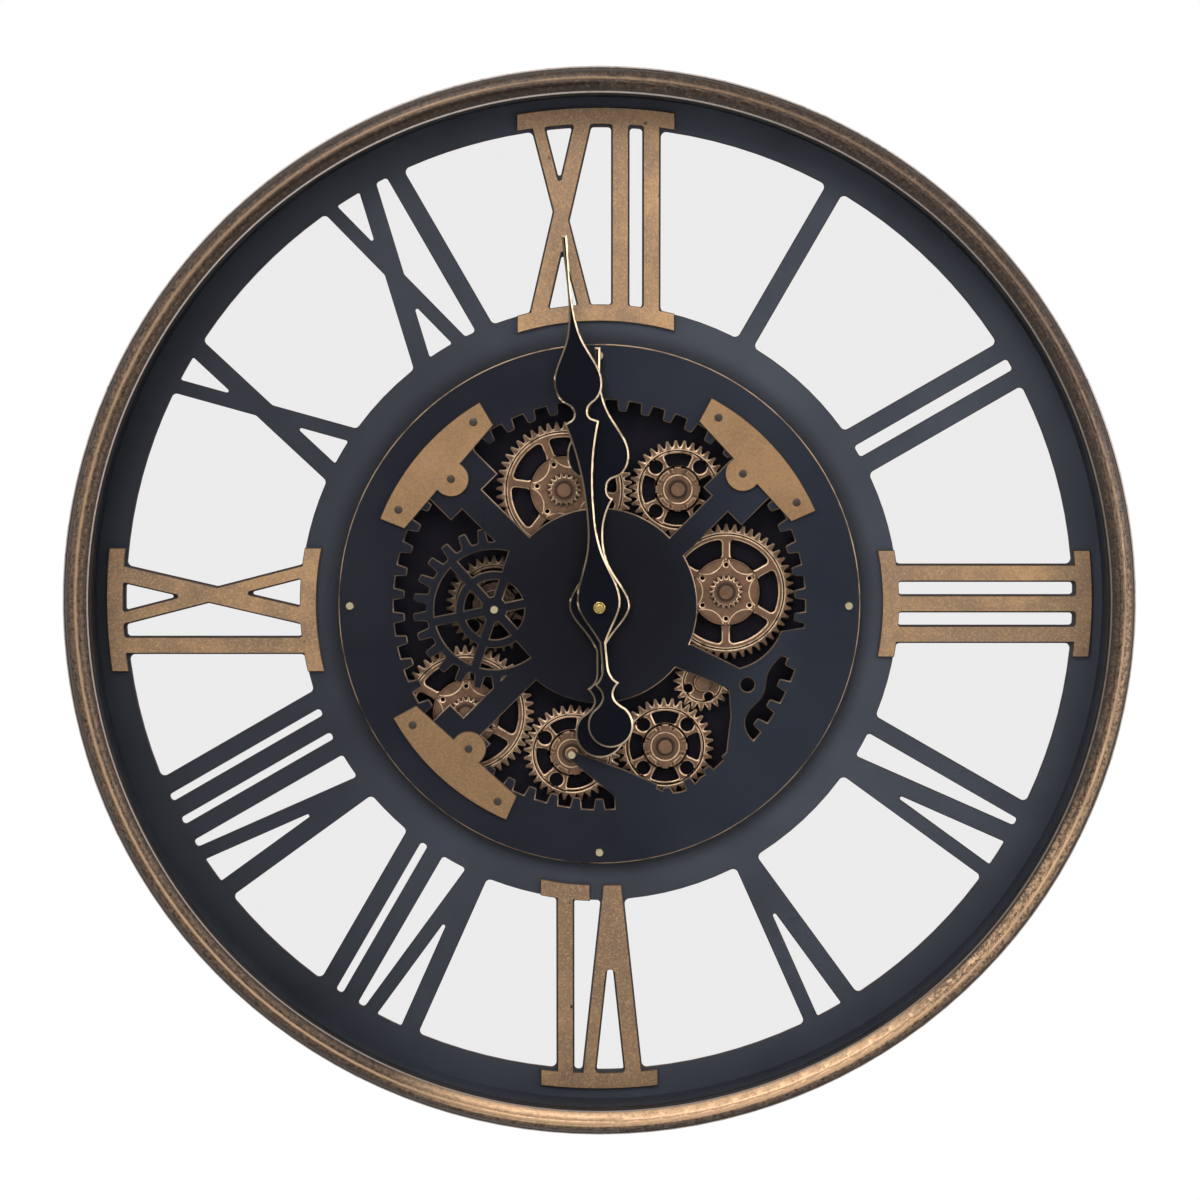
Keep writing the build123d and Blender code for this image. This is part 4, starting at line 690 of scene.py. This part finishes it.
@finish("rim_bronze_paint")
def rim_paint(place):
    """Dark speckled rim, bronze from wear and with painted highlights along its crest and slopes,
    most of all at the bottom.
    """
    dark, bright, line = (colour_of(name) for name in ("rim_dark", "rim_bright", "rim_line"))
    radius, round_it = polar(place)
    depth = along(place, "Y")
    on_front = span(depth, *RIM_FRONT)
    inward = calc("SUBTRACT", hoop_radius, radius)
    across = calc("ADD", inward, depth)
    streaks = speckle(brushed(round_it, across), 9.0, 5.0, 0.7)
    grit = speckle(place, 520.0, 4.0, 0.75)

    # Dark ground with bronze flecks
    colour = mixed(span(grit, 0.3, 0.7), shaded(dark, 0.6), shaded(dark, 1.4))
    flecks = times(span(grit, 0.56, 0.7), span(streaks, 0.36, 0.7))
    colour = mixed(times(flecks, 0.5), colour, shaded(bright, 0.55))

    # Crest: brown patches to either side of it, and its own line, rubbed bronze and painted
    # highlight
    towards = on_side(round_it, RUBBED_AND_LIT_SIDE)
    crest_line = calc("ADD", on_side(round_it, CREST_HIGHLIGHT_SHIFT), CREST_INWARD)
    crest_off = off(inward, crest_line)
    patches = calc("ADD", times(streaks, 0.5), times(grit, 0.5))
    wide = times(span(crest_off, 0.0072, 0.0008), span(patches, 0.4, 0.56))
    wear_and_highlight = calc("MULTIPLY_ADD", span(towards, 0.1, 0.85), 0.4, 0.1)
    flecked = times(span(on_side(round_it, FLECKED_SIDE), 0.2, 0.9), 0.4)
    wide = times(wide, calc("MAXIMUM", wear_and_highlight, flecked))
    colour = mixed(times(wide, on_front), colour, RUBBED_BROWN)
    gaps = span(speckle(place, 24.0, 4.0, 0.6), 0.1, 0.5)
    crest = times(span(crest_off, 0.0013, 0.0003), gaps)
    crest_highlight = calc("ADD", on_side(round_it, CREST_HIGHLIGHT_SIDE), CREST_LEVEL)
    crest_highlight = calc("MULTIPLY_ADD", span(towards, 0.55, 0.95), 0.5, crest_highlight)
    share = times(times(crest, crest_highlight), on_front)

    # Broad bands of rubbed bronze and painted highlight
    breaks = {
        "grit": at_least(span(grit, 0.42, 0.6), 0.2),
        "streaks": at_least(span(patches, 0.36, 0.56), 0.5),
    }
    for side, reach, low, high, strength, kind in RUBBED_AND_LIT_BANDS:
        there = span(on_side(round_it, side), *reach)
        band = times(banded(inward, low, high, BAND_SOFTNESS), there)
        band = times(band, times(breaks[kind], strength))
        share = calc("MAXIMUM", share, times(band, on_front))
    colour = mixed(share, colour, bright)

    # Painted highlight lines at the lip and the outer shoulder, and painted shade in the hollow
    # inside the lip
    lip = span(off(inward, LIP_INWARD), 0.0006, 0.0002)
    lip = times(lip, calc("ADD", on_side(round_it, LIP_HIGHLIGHT_SIDE), LIP_LEVEL))
    lip = times(lip, on_front)
    shoulder = span(off(depth, SHOULDER_DEPTH), 0.0012, 0.0005)
    shoulder = times(shoulder, span(inward, 0.0014, 0.0005))
    pale = times(calc("MAXIMUM", lip, shoulder), span(streaks, 0.2, 0.5))
    colour = mixed(pale, colour, line)
    hollow = times(span(inward, *HOLLOW_INWARD), on_front)
    colour = mixed(hollow, colour, shaded(dark, 0.25))

    shine = calc("MULTIPLY_ADD", share, 0.35, 0.3)
    height = calc("ADD", times(streaks, 0.6), grit)
    normal = bumped(height, 0.2, 0.0003)
    return principled(colour, 0.42, metallic=shine, gloss=0.3, normal=normal)


# Glass, metals, plastics and the cells' sleeve
@finish("clear_glass")
def clear_glass(place):
    """Clear pane that takes a little light, and mirrors more the more it is seen aslant."""
    tree = place.id_data
    rough = ramp(speckle(place, 3.0, 2.0), 0.0, 0.03)
    through = put("ShaderNodeBsdfTransparent", {"Color": (0.917, 0.914, 0.916, 1.0)}, tree)
    mirror = put("ShaderNodeBsdfAnisotropic", {"Roughness": rough}, distribution="GGX")
    slant = put("ShaderNodeLayerWeight", {"Blend": 0.5}, tree).outputs["Facing"]
    share = times(calc("POWER", slant, 4.0), 0.5)
    parts = {0: share, 1: through.outputs["BSDF"], 2: mirror.outputs["BSDF"]}
    return put("ShaderNodeMixShader", parts).outputs["Shader"]


def metal(name):
    """Metal with soft patches and fine scratches, by its name in METALS."""
    tone, least_rough, fineness = METALS[name]
    colour = colour_of(tone) if isinstance(tone, str) else tone

    @finish(name)
    def fill(place):
        scratches = speckle(place, fineness, 4.0, 0.7)
        patches = speckle(place, 120.0)
        tint = mixed(patches, shaded(colour, 0.72), shaded(colour, 1.08))
        rough = calc("MULTIPLY_ADD", scratches, 0.2, least_rough)
        normal = bumped(scratches, 0.12, 0.00005)
        return principled(tint, rough, metallic=1.0, normal=normal)

    return fill()


def moulded(name):
    """Moulded plastic, lacquer or rubber with a fine grain, by its name in MOULDED."""
    colour, least_rough, fineness, strength = MOULDED[name]

    @finish(name)
    def fill(place):
        grain = speckle(place, fineness, 2.0)
        cloud = speckle(place, 45.0)
        tint = mixed(cloud, shaded(colour, 0.75), shaded(colour, 1.25))
        rough = calc("MULTIPLY_ADD", grain, 0.14, least_rough)
        return principled(tint, rough, normal=bumped(grain, strength, 0.00012))

    return fill()


@finish("cell_sleeve")
def cell_sleeve(place):
    """Plain two-tone sleeve of the cells, with no print."""
    wave = calc("SINE", times(along(place, "X"), 2.0 * pi / SLEEVE_REPEAT))
    tint = mixed(span(wave, 0.45, 0.5), (0.025, 0.026, 0.03), (0.52, 0.30, 0.12))
    rough = calc("MULTIPLY_ADD", speckle(place, 80.0), 0.15, 0.22)
    return principled(tint, rough, metallic=0.4)


# Helpers for pieces
def linked(name, data):
    """New object with this data, in the scene."""
    made = bpy.data.objects.new(name, data)
    bpy.context.scene.collection.objects.link(made)
    return made


def paint(material, *names):
    """Gives the own objects of CAD nodes a finish."""
    for name in names:
        mesh = nodes[name].data
        mesh.materials.clear()
        mesh.materials.append(material)


def merged_copy(node):
    """Closed mesh copied from a CAD node, with the loose triangles joined."""
    mesh = bmesh.new()
    mesh.from_mesh(nodes[node].data)
    bmesh.ops.remove_doubles(mesh, verts=mesh.verts, dist=1e-6)
    mesh.normal_update()
    return mesh


def slope_edges(mesh, width, drop, edge_slot=1):
    """Slopes the outline of every face that looks at the viewer back by a drop, over a width."""
    fronts = [face for face in mesh.faces if face.normal.y < FRONT]
    if not fronts:
        raise RuntimeError("no face looks at the viewer")
    for face in mesh.faces:
        face.material_index = 0 if face.normal.y > BACK else edge_slot
    made = bmesh.ops.inset_region(
        mesh, faces=fronts, thickness=width, use_even_offset=True, use_boundary=True
    )
    kept = {point for face in fronts for point in face.verts}
    outline = set()
    for strip in made["faces"]:
        strip.material_index = 0
        for edge in strip.edges:
            walls = [face for face in edge.link_faces if face is not strip]
            outer = kept.isdisjoint(edge.verts)
            if outer and walls[0].calc_center_median().y > edge.verts[0].co.y:
                outline.update(edge.verts)
                strip.material_index = edge_slot
    for face in fronts:
        face.material_index = 0
        face.normal_update()
        if face.normal.y > 0.0:
            face.normal_flip()
    for point in outline:
        point.co.y += drop


def show(mesh, name, materials, node, sharpness=SHEET_SHARPNESS):
    """Turns a mesh into a piece that stands for a CAD node and rides on its body."""
    data = bpy.data.meshes.new(name)
    mesh.to_mesh(data)
    mesh.free()
    for material in materials:
        data.materials.append(material)
    data.shade_smooth()
    data.set_sharp_from_angle(angle=radians(sharpness))
    for face in data.polygons:
        if abs(face.normal.y) > FLAT:
            face.use_smooth = False
    return place_piece(data, name, node)


def place_piece(data, name, node):
    """Links a finished mesh as a piece that stands for a CAD node."""
    piece = linked(name, data)
    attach(piece, body_of_node[node])
    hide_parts(node)
    return piece


def shell_piece(node, name, material):
    """Copy of a round or bent CAD piece in one finish."""
    show(merged_copy(node), name, (material,), node, SHELL_SHARPNESS)


def edged_piece(node, name, width, drop, materials):
    """Copy of a flat CAD piece with a sloped edge in a second finish."""
    mesh = merged_copy(node)
    slope_edges(mesh, width, drop)
    show(mesh, name, materials, node)


def mark_arbor(wheel, node):
    """Stores each point's place about the gear's arbor, and the gear's radius, for its finish."""
    low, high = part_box(node)
    middle = (low + high) / 2
    tip_radius = (high.x - low.x) / 2
    marks = wheel.data.attributes.new(ARBOR_PLACE, "FLOAT_VECTOR", "POINT")
    for point, mark in zip(wheel.data.vertices, marks.data):
        mark.vector = (point.co.x - middle.x, tip_radius, point.co.z - middle.z)


def about_dial(radius, turn, depth):
    """Point at a radius and a clockwise turn from twelve, at a depth."""
    angle = radians(turn)
    x = dial_centre.x + radius * sin(angle)
    return Vector((x, depth, dial_centre.z + radius * cos(angle)))


# Repeated fasteners, by geometry nodes
def fastener_tree(name, lengths):
    """New tree with points, these lengths and a finish as inputs, and their sockets by name."""
    tree = bpy.data.node_groups.new(name, "GeometryNodeTree")
    sockets = [("Points", "NodeSocketGeometry")]
    sockets += [(length, "NodeSocketFloat") for length in lengths]
    sockets += [("Finish", "NodeSocketMaterial")]
    for label, kind in sockets:
        tree.interface.new_socket(label, in_out="INPUT", socket_type=kind)
    tree.interface.new_socket("Geometry", in_out="OUTPUT", socket_type="NodeSocketGeometry")
    return tree, tree.nodes.new("NodeGroupInput").outputs


def facing(shape, depth):
    """Turns a shape from +Z to face the viewer and moves it back by a depth."""
    inputs = {"Geometry": shape, "Rotation": (pi / 2, 0.0, 0.0)}
    inputs["Translation"] = joined(shape.id_data, Y=depth)
    return put("GeometryNodeTransform", inputs).outputs["Geometry"]


def finish_tree(tree, given, head, seed):
    """Adds a shank behind a head, sets both on each point at a random turn, and coats them."""
    radius, length = given["Shank Radius"], given["Shank Length"]
    sizes = {"Vertices": SHANK_SIDES, "Radius": radius, "Depth": length}
    shank = put("GeometryNodeMeshCylinder", sizes).outputs["Mesh"]
    join = tree.nodes.new("GeometryNodeJoinGeometry")
    for shape, depth in ((head, 0.0), (shank, times(length, 0.5))):
        tree.links.new(facing(shape, depth), join.inputs["Geometry"])
    turn = put("FunctionNodeRandomValue", {"Seed": seed}, tree, data_type="FLOAT_VECTOR")
    turn.inputs[0].default_value = (0.0, 0.0, 0.0)
    turn.inputs[1].default_value = (0.0, 2.0 * pi, 0.0)
    inputs = {"Points": given["Points"], "Instance": join.outputs["Geometry"]}
    inputs["Rotation"] = turn.outputs[0]
    spots = put("GeometryNodeInstanceOnPoints", inputs).outputs["Instances"]
    real = put("GeometryNodeRealizeInstances", {"Geometry": spots}).outputs["Geometry"]
    inputs = {"Geometry": real, "Material": given["Finish"]}
    coat = put("GeometryNodeSetMaterial", inputs).outputs["Geometry"]
    put("NodeGroupOutput", {"Geometry": coat})
    return tree


def screw_tree():
    """Slotted screws: tapered head with a slot, and a shank behind it."""
    lengths = ("Head Radius", "Head Height", "Slot Width", "Shank Radius", "Shank Length")
    tree, given = fastener_tree("slotted_screws", lengths)
    radius, height = given["Head Radius"], given["Head Height"]
    sizes = {"Vertices": SCREW_SIDES, "Radius Bottom": radius, "Depth": height}
    sizes["Radius Top"] = times(radius, HEAD_TAPER)
    head = put("GeometryNodeMeshCone", sizes).outputs["Mesh"]
    size = joined(tree, X=times(radius, SLOT_REACH), Y=given["Slot Width"], Z=height)
    blade = put("GeometryNodeMeshCube", {"Size": size}).outputs["Mesh"]
    lift = joined(tree, Z=times(height, SLOT_RISE))
    inputs = {"Geometry": blade, "Translation": lift}
    raised = put("GeometryNodeTransform", inputs).outputs["Geometry"]
    inputs = {"Mesh 1": head, "Mesh 2": raised}
    cut = put("GeometryNodeMeshBoolean", inputs, operation="DIFFERENCE")
    return finish_tree(tree, given, cut.outputs["Mesh"], SCREW_SEED)


def rivet_tree():
    """Domed rivets: a flattened dome and a shank behind it."""
    lengths = ("Head Radius", "Head Height", "Shank Radius", "Shank Length")
    tree, given = fastener_tree("domed_rivets", lengths)
    radius, height = given["Head Radius"], given["Head Height"]
    ball = put("GeometryNodeMeshUVSphere", {**DOME_SIDES, "Radius": 1.0}, tree)
    size = joined(tree, X=radius, Y=radius, Z=height)
    inputs = {"Geometry": ball.outputs["Mesh"], "Scale": size}
    dome = put("GeometryNodeTransform", inputs).outputs["Geometry"]
    smooth = put("GeometryNodeSetShadeSmooth", {"Geometry": dome})
    return finish_tree(tree, given, smooth.outputs["Geometry"], RIVET_SEED)


def scattered(name, tree, points, values, node):
    """Runs a tree on points, with values in the order of its inputs, and keeps one plain mesh."""
    seeds = bpy.data.meshes.new(name + "_places")
    seeds.from_pydata([tuple(point) for point in points], [], [])
    carrier = linked(name + "_places", seeds)
    modifier = carrier.modifiers.new("fasteners", "NODES")
    modifier.node_group = tree
    inputs = [socket for socket in tree.interface.items_tree if socket.in_out == "INPUT"]
    for socket, value in zip(inputs[1:], values):
        modifier[socket.identifier] = value
    bpy.context.view_layer.update()
    evaluated = carrier.evaluated_get(bpy.context.evaluated_depsgraph_get())
    data = bpy.data.meshes.new_from_object(evaluated)
    data.name = name
    if not data.polygons:
        raise RuntimeError(name + " has no faces")
    bpy.data.objects.remove(carrier)
    place_piece(data, name, node)


# Operators, one for each piece or group of like pieces
class CLOCK_OT_rim(bpy.types.Operator):
    """Moulded rim and the rubber gasket under its lip"""

    bl_idname = "clock.rim"
    bl_label = "Rim"

    def execute(self, context):
        shell_piece("rim_hoop", "moulded_rim", rim_paint())
        paint(moulded("gasket_rubber"), "glass_gasket")
        return {"FINISHED"}


class CLOCK_OT_glass(bpy.types.Operator):
    """Front glass and the black wall round the dial"""

    bl_idname = "clock.glass"
    bl_label = "Glass and inner wall"

    def execute(self, context):
        pane = merged_copy("front_glass")
        show(pane, "glass_pane", (clear_glass(),), "front_glass")
        shell_piece("rim_liner", "inner_wall", liner_black())
        return {"FINISHED"}


class CLOCK_OT_dial(bpy.types.Operator):
    """Black dial frame with its cut numerals"""

    bl_idname = "clock.dial"
    bl_label = "Dial frame"

    def execute(self, context):
        width = context.scene.clock_sizes.frame_edge
        coats = (frame_black(), brown_edge())
        edged_piece("dial_frame", "dial_frame_sheet", width, width, coats)
        return {"FINISHED"}


class CLOCK_OT_numerals(bpy.types.Operator):
    """Raised bronze numerals"""

    bl_idname = "clock.numerals"
    bl_label = "Raised numerals"

    def execute(self, context):
        width = context.scene.clock_sizes.numeral_edge
        coats = (bronze_paint(), numeral_edge())
        for node in NUMERALS:
            edged_piece(node, node + "_plate", width, width, coats)
        return {"FINISHED"}


class CLOCK_OT_centre(bpy.types.Operator):
    """Black centre plate with its bronze edge, from wear and a painted highlight"""

    bl_idname = "clock.centre"
    bl_label = "Centre plate"

    def execute(self, context):
        width = context.scene.clock_sizes.plate_edge
        coats = (centre_black(), bronze_edge())
        edged_piece("centre_dial", "centre_plate", width, width, coats)
        paint(frame_black(), "dial_spacers")
        return {"FINISHED"}


class CLOCK_OT_corners(bpy.types.Operator):
    """Bronze corner plates and their rivets"""

    bl_idname = "clock.corners"
    bl_label = "Corner plates"

    def execute(self, context):
        sizes = context.scene.clock_sizes
        width = sizes.numeral_edge
        coats = (corner_paint(), numeral_edge())
        for node in CORNERS:
            edged_piece(node, node + "_sheet", width, width, coats)
        points = []
        for turn in CORNER_TURNS:
            points += [about_dial(out, turn + aside, corner_face) for out, aside in RIVET_SPOTS]
        _, rivet_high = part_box("corner_plate_rivets")
        values = [sizes.rivet_radius, sizes.rivet_rise, sizes.rivet_shank]
        values += [rivet_high.y - corner_face, metal("dark_rivet_steel")]
        tree = rivet_tree()
        scattered("corner_rivets", tree, points, values, "corner_plate_rivets")
        return {"FINISHED"}


class CLOCK_OT_screws(bpy.types.Operator):
    """Slotted screws of the centre plate"""

    bl_idname = "clock.screws"
    bl_label = "Dial screws"

    def execute(self, context):
        sizes = context.scene.clock_sizes
        points = [about_dial(SCREW_CIRCLE, turn, centre_face) for turn in SCREW_TURNS]
        for gear in SCREW_GEARS:
            low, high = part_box(gear)
            middle = (low + high) / 2
            drop = DUMMY_DROP if gear == GEAR_IN_SHADE else 0.0
            points.append(Vector((middle.x, centre_face, middle.z - drop)))
        _, screw_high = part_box("dial_screws")
        values = [sizes.screw_radius, sizes.screw_height, sizes.screw_slot, sizes.screw_shank]
        values += [screw_high.y - centre_face, metal("screw_brass")]
        tree = screw_tree()
        scattered("slotted_dial_screws", tree, points, values, "dial_screws")
        return {"FINISHED"}


class CLOCK_OT_gears(bpy.types.Operator):
    """Bronze gears with bright edges, their arbors and the black plate behind them; the plate and
    one gear are painted darker as shade
    """

    bl_idname = "clock.gears"
    bl_label = "Gears"

    def execute(self, context):
        width = context.scene.clock_sizes.gear_edge
        for node in GEARS:
            mesh = merged_copy(node)
            slope_edges(mesh, width, width * GEAR_SLOPE)
            for face in mesh.faces:
                if face.material_index == 1 and abs(face.normal.y) < WALL:
                    face.material_index = 0
            # The gear behind the dummy gear gets darker finishes, as painted shade
            dim = node == GEAR_IN_SHADE
            coats = (dim_gear_coat(), dim_gear_edge()) if dim else (gear_coat(), gear_edge())
            wheel = show(mesh, node + "_wheel", coats, node)
            mark_arbor(wheel, node)
        paint(gear_coat(), "gear_arbors", "motor_shaft")
        paint(deep_black(), "gear_plate", "gear_plate_pillars")
        return {"FINISHED"}


class CLOCK_OT_hands(bpy.types.Operator):
    """Black spade hands with a gold edge, and the brass cap"""

    bl_idname = "clock.hands"
    bl_label = "Hands"

    def execute(self, context):
        sizes = context.scene.clock_sizes
        coats = (hand_black(), gold_edge())
        for node in ("hour_hand", "minute_hand"):
            edged_piece(node, node + "_blade", sizes.hand_edge, sizes.hand_drop, coats)
        cap = merged_copy("hand_cap")
        slope_edges(cap, sizes.cap_edge, sizes.cap_edge * CAP_SLOPE, 0)
        show(cap, "hand_cap_knob", (metal("polished_brass"),), "hand_cap")
        return {"FINISHED"}


class CLOCK_OT_case(bpy.types.Operator):
    """Drum, rear cover, hanger, clips and their fasteners"""

    bl_idname = "clock.case"
    bl_label = "Case"

    def execute(self, context):
        for node in ("drum_shell", "rear_cover", "frame_clips"):
            shell_piece(node, node + "_sheet", frame_black())
        steel = metal("plain_steel")
        paint(steel, "frame_clip_screws", "numeral_studs", "stud_push_nuts", "case_screws")
        paint(steel, "hanger_plate", "hanger_rivets", "motor_screws", "battery_contacts")
        return {"FINISHED"}


class CLOCK_OT_works(bpy.types.Operator):
    """Movement, motor, battery box, switch and wires"""

    bl_idname = "clock.works"
    bl_label = "Works"

    def execute(self, context):
        black = moulded("black_plastic")
        paint(black, "gear_motor", "movement_case", "movement_cover")
        paint(black, "battery_box", "battery_lid", "switch_body")
        paint(moulded("white_plastic"), "set_knob", "switch_slider")
        brass = metal("polished_brass")
        paint(brass, "movement_washer", "movement_nut", "minute_arbor")
        paint(brass, "hour_pipe", "minute_wheel", "movement_coil")
        paint(moulded("board_lacquer"), "movement_board")
        paint(cell_sleeve(), "batteries")
        paint(moulded("wire_red"), "lead_wires")
        return {"FINISHED"}


# Stage
def aim(thing, at):
    """Turns a lamp or camera to look at a point."""
    thing.rotation_mode = "QUATERNION"
    thing.rotation_quaternion = (at - thing.location).to_track_quat("-Z", "Y")


def area_lamp(name, place, width, power):
    """Square soft lamp that looks at the dial."""
    data = bpy.data.lights.new(name, "AREA")
    data.shape = "SQUARE"
    data.size = width
    data.energy = power
    lamp = linked(name, data)
    lamp.location = place
    aim(lamp, TARGET)
    lamp.visible_camera = False


def seen_directly(tree):
    """1 for rays that show the background: from the camera, a mirror or through glass."""
    path = tree.nodes.new("ShaderNodeLightPath").outputs
    mirrored = calc("MAXIMUM", path["Is Glossy Ray"], path["Is Transmission Ray"])
    return calc("MAXIMUM", path["Is Camera Ray"], mirrored)


def white_sky(level):
    """World that is white to the camera and gives plain soft light."""
    world = bpy.data.worlds.new("soft_sky")
    world.use_nodes = True
    tree = world.node_tree
    tree.nodes.clear()
    soft = put("ShaderNodeBackground", {"Color": WHITE, "Strength": level}, tree)
    white = put("ShaderNodeBackground", {"Color": WHITE, "Strength": 1.0}, tree)
    parts = {0: seen_directly(tree), 1: soft.outputs[0], 2: white.outputs[0]}
    shown = put("ShaderNodeMixShader", parts)
    put("ShaderNodeOutputWorld", {"Surface": shown.outputs["Shader"]})
    return world


@finish("pale_floor")
def pale_floor(place):
    """Pale floor that runs into the white background and keeps the clock's shadow."""
    cloud = speckle(place, 1.5, 2.0)
    tint = mixed(cloud, (0.90, 0.90, 0.90), (0.93, 0.93, 0.93))
    matt = put("ShaderNodeBsdfDiffuse", {"Color": tint}).outputs["BSDF"]
    white = put("ShaderNodeEmission", {"Color": WHITE, "Strength": 1.0}, place.id_data)
    out = vector("LENGTH", vector("MULTIPLY", place, (1.0, 1.0, 0.0)))
    fade = at_least(span(out, *FLOOR_FADE), 0.6)
    share = times(seen_directly(place.id_data), fade)
    parts = {0: share, 1: matt, 2: white.outputs["Emission"]}
    return put("ShaderNodeMixShader", parts).outputs["Shader"]


class CLOCK_OT_stage(bpy.types.Operator):
    """Camera, lamps, white background and floor"""

    bl_idname = "clock.stage"
    bl_label = "Stage"

    def execute(self, context):
        scene = context.scene
        stage = scene.clock_stage
        scene.view_settings.view_transform = "Standard"
        scene.world = white_sky(stage.sky_level)
        data = bpy.data.cameras.new("photo_camera")
        data.sensor_width = SENSOR_WIDTH
        data.lens = stage.camera_lens
        data.shift_x = (FRAME_PIXELS / 2 - TARGET_PIXEL[0]) / FRAME_PIXELS
        data.shift_y = (TARGET_PIXEL[1] - FRAME_PIXELS / 2) / FRAME_PIXELS
        camera = linked("photo_camera", data)
        rise = stage.camera_rise
        camera.location = TARGET + Vector((0.0, -cos(rise), sin(rise))) * stage.camera_distance
        aim(camera, TARGET)
        scene.camera = camera
        for name, place, width, power in LAMPS:
            area_lamp(name, place, width, getattr(stage, power))
        floor_mesh = bmesh.new()
        sizes = {"segments": FLOOR_SIDES, "radius": FLOOR_RADIUS}
        bmesh.ops.create_circle(floor_mesh, cap_ends=True, **sizes)
        for point in floor_mesh.verts:
            point.co.z = cad_low.z - stage.floor_drop
        data = bpy.data.meshes.new("floor")
        floor_mesh.to_mesh(data)
        floor_mesh.free()
        data.materials.append(pale_floor())
        floor = linked("floor", data)
        return {"FINISHED"}


class CLOCK_PT_panel(bpy.types.Panel):
    """Lists the clock's operators"""

    bl_idname = "CLOCK_PT_panel"
    bl_label = "Skeleton wall clock"
    bl_space_type = "VIEW_3D"
    bl_region_type = "UI"
    bl_category = "Clock"

    def draw(self, context):
        for operator in OPERATORS:
            self.layout.operator(operator.bl_idname)


OPERATORS = (CLOCK_OT_rim, CLOCK_OT_glass, CLOCK_OT_dial, CLOCK_OT_numerals, CLOCK_OT_centre)
OPERATORS += (CLOCK_OT_corners, CLOCK_OT_screws, CLOCK_OT_gears, CLOCK_OT_hands)
OPERATORS += (CLOCK_OT_case, CLOCK_OT_works, CLOCK_OT_stage)
GROUPS = {"clock_finishes": ClockFinishes, "clock_sizes": ClockSizes, "clock_stage": ClockStage}


def register():
    """Registers the settings, the operators and the panel."""
    for name, group in GROUPS.items():
        bpy.utils.register_class(group)
        setattr(bpy.types.Scene, name, bpy.props.PointerProperty(type=group))
    for operator in OPERATORS:
        bpy.utils.register_class(operator)
    bpy.utils.register_class(CLOCK_PT_panel)


def unregister():
    """Takes back what register added."""
    bpy.utils.unregister_class(CLOCK_PT_panel)
    for operator in reversed(OPERATORS):
        bpy.utils.unregister_class(operator)
    for name, group in GROUPS.items():
        delattr(bpy.types.Scene, name)
        bpy.utils.unregister_class(group)


def main():
    """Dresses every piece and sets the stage."""
    register()
    for operator in OPERATORS:
        group, name = operator.bl_idname.split(".")
        getattr(getattr(bpy.ops, group), name)()
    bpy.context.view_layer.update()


if __name__ == "__main__":
    main()
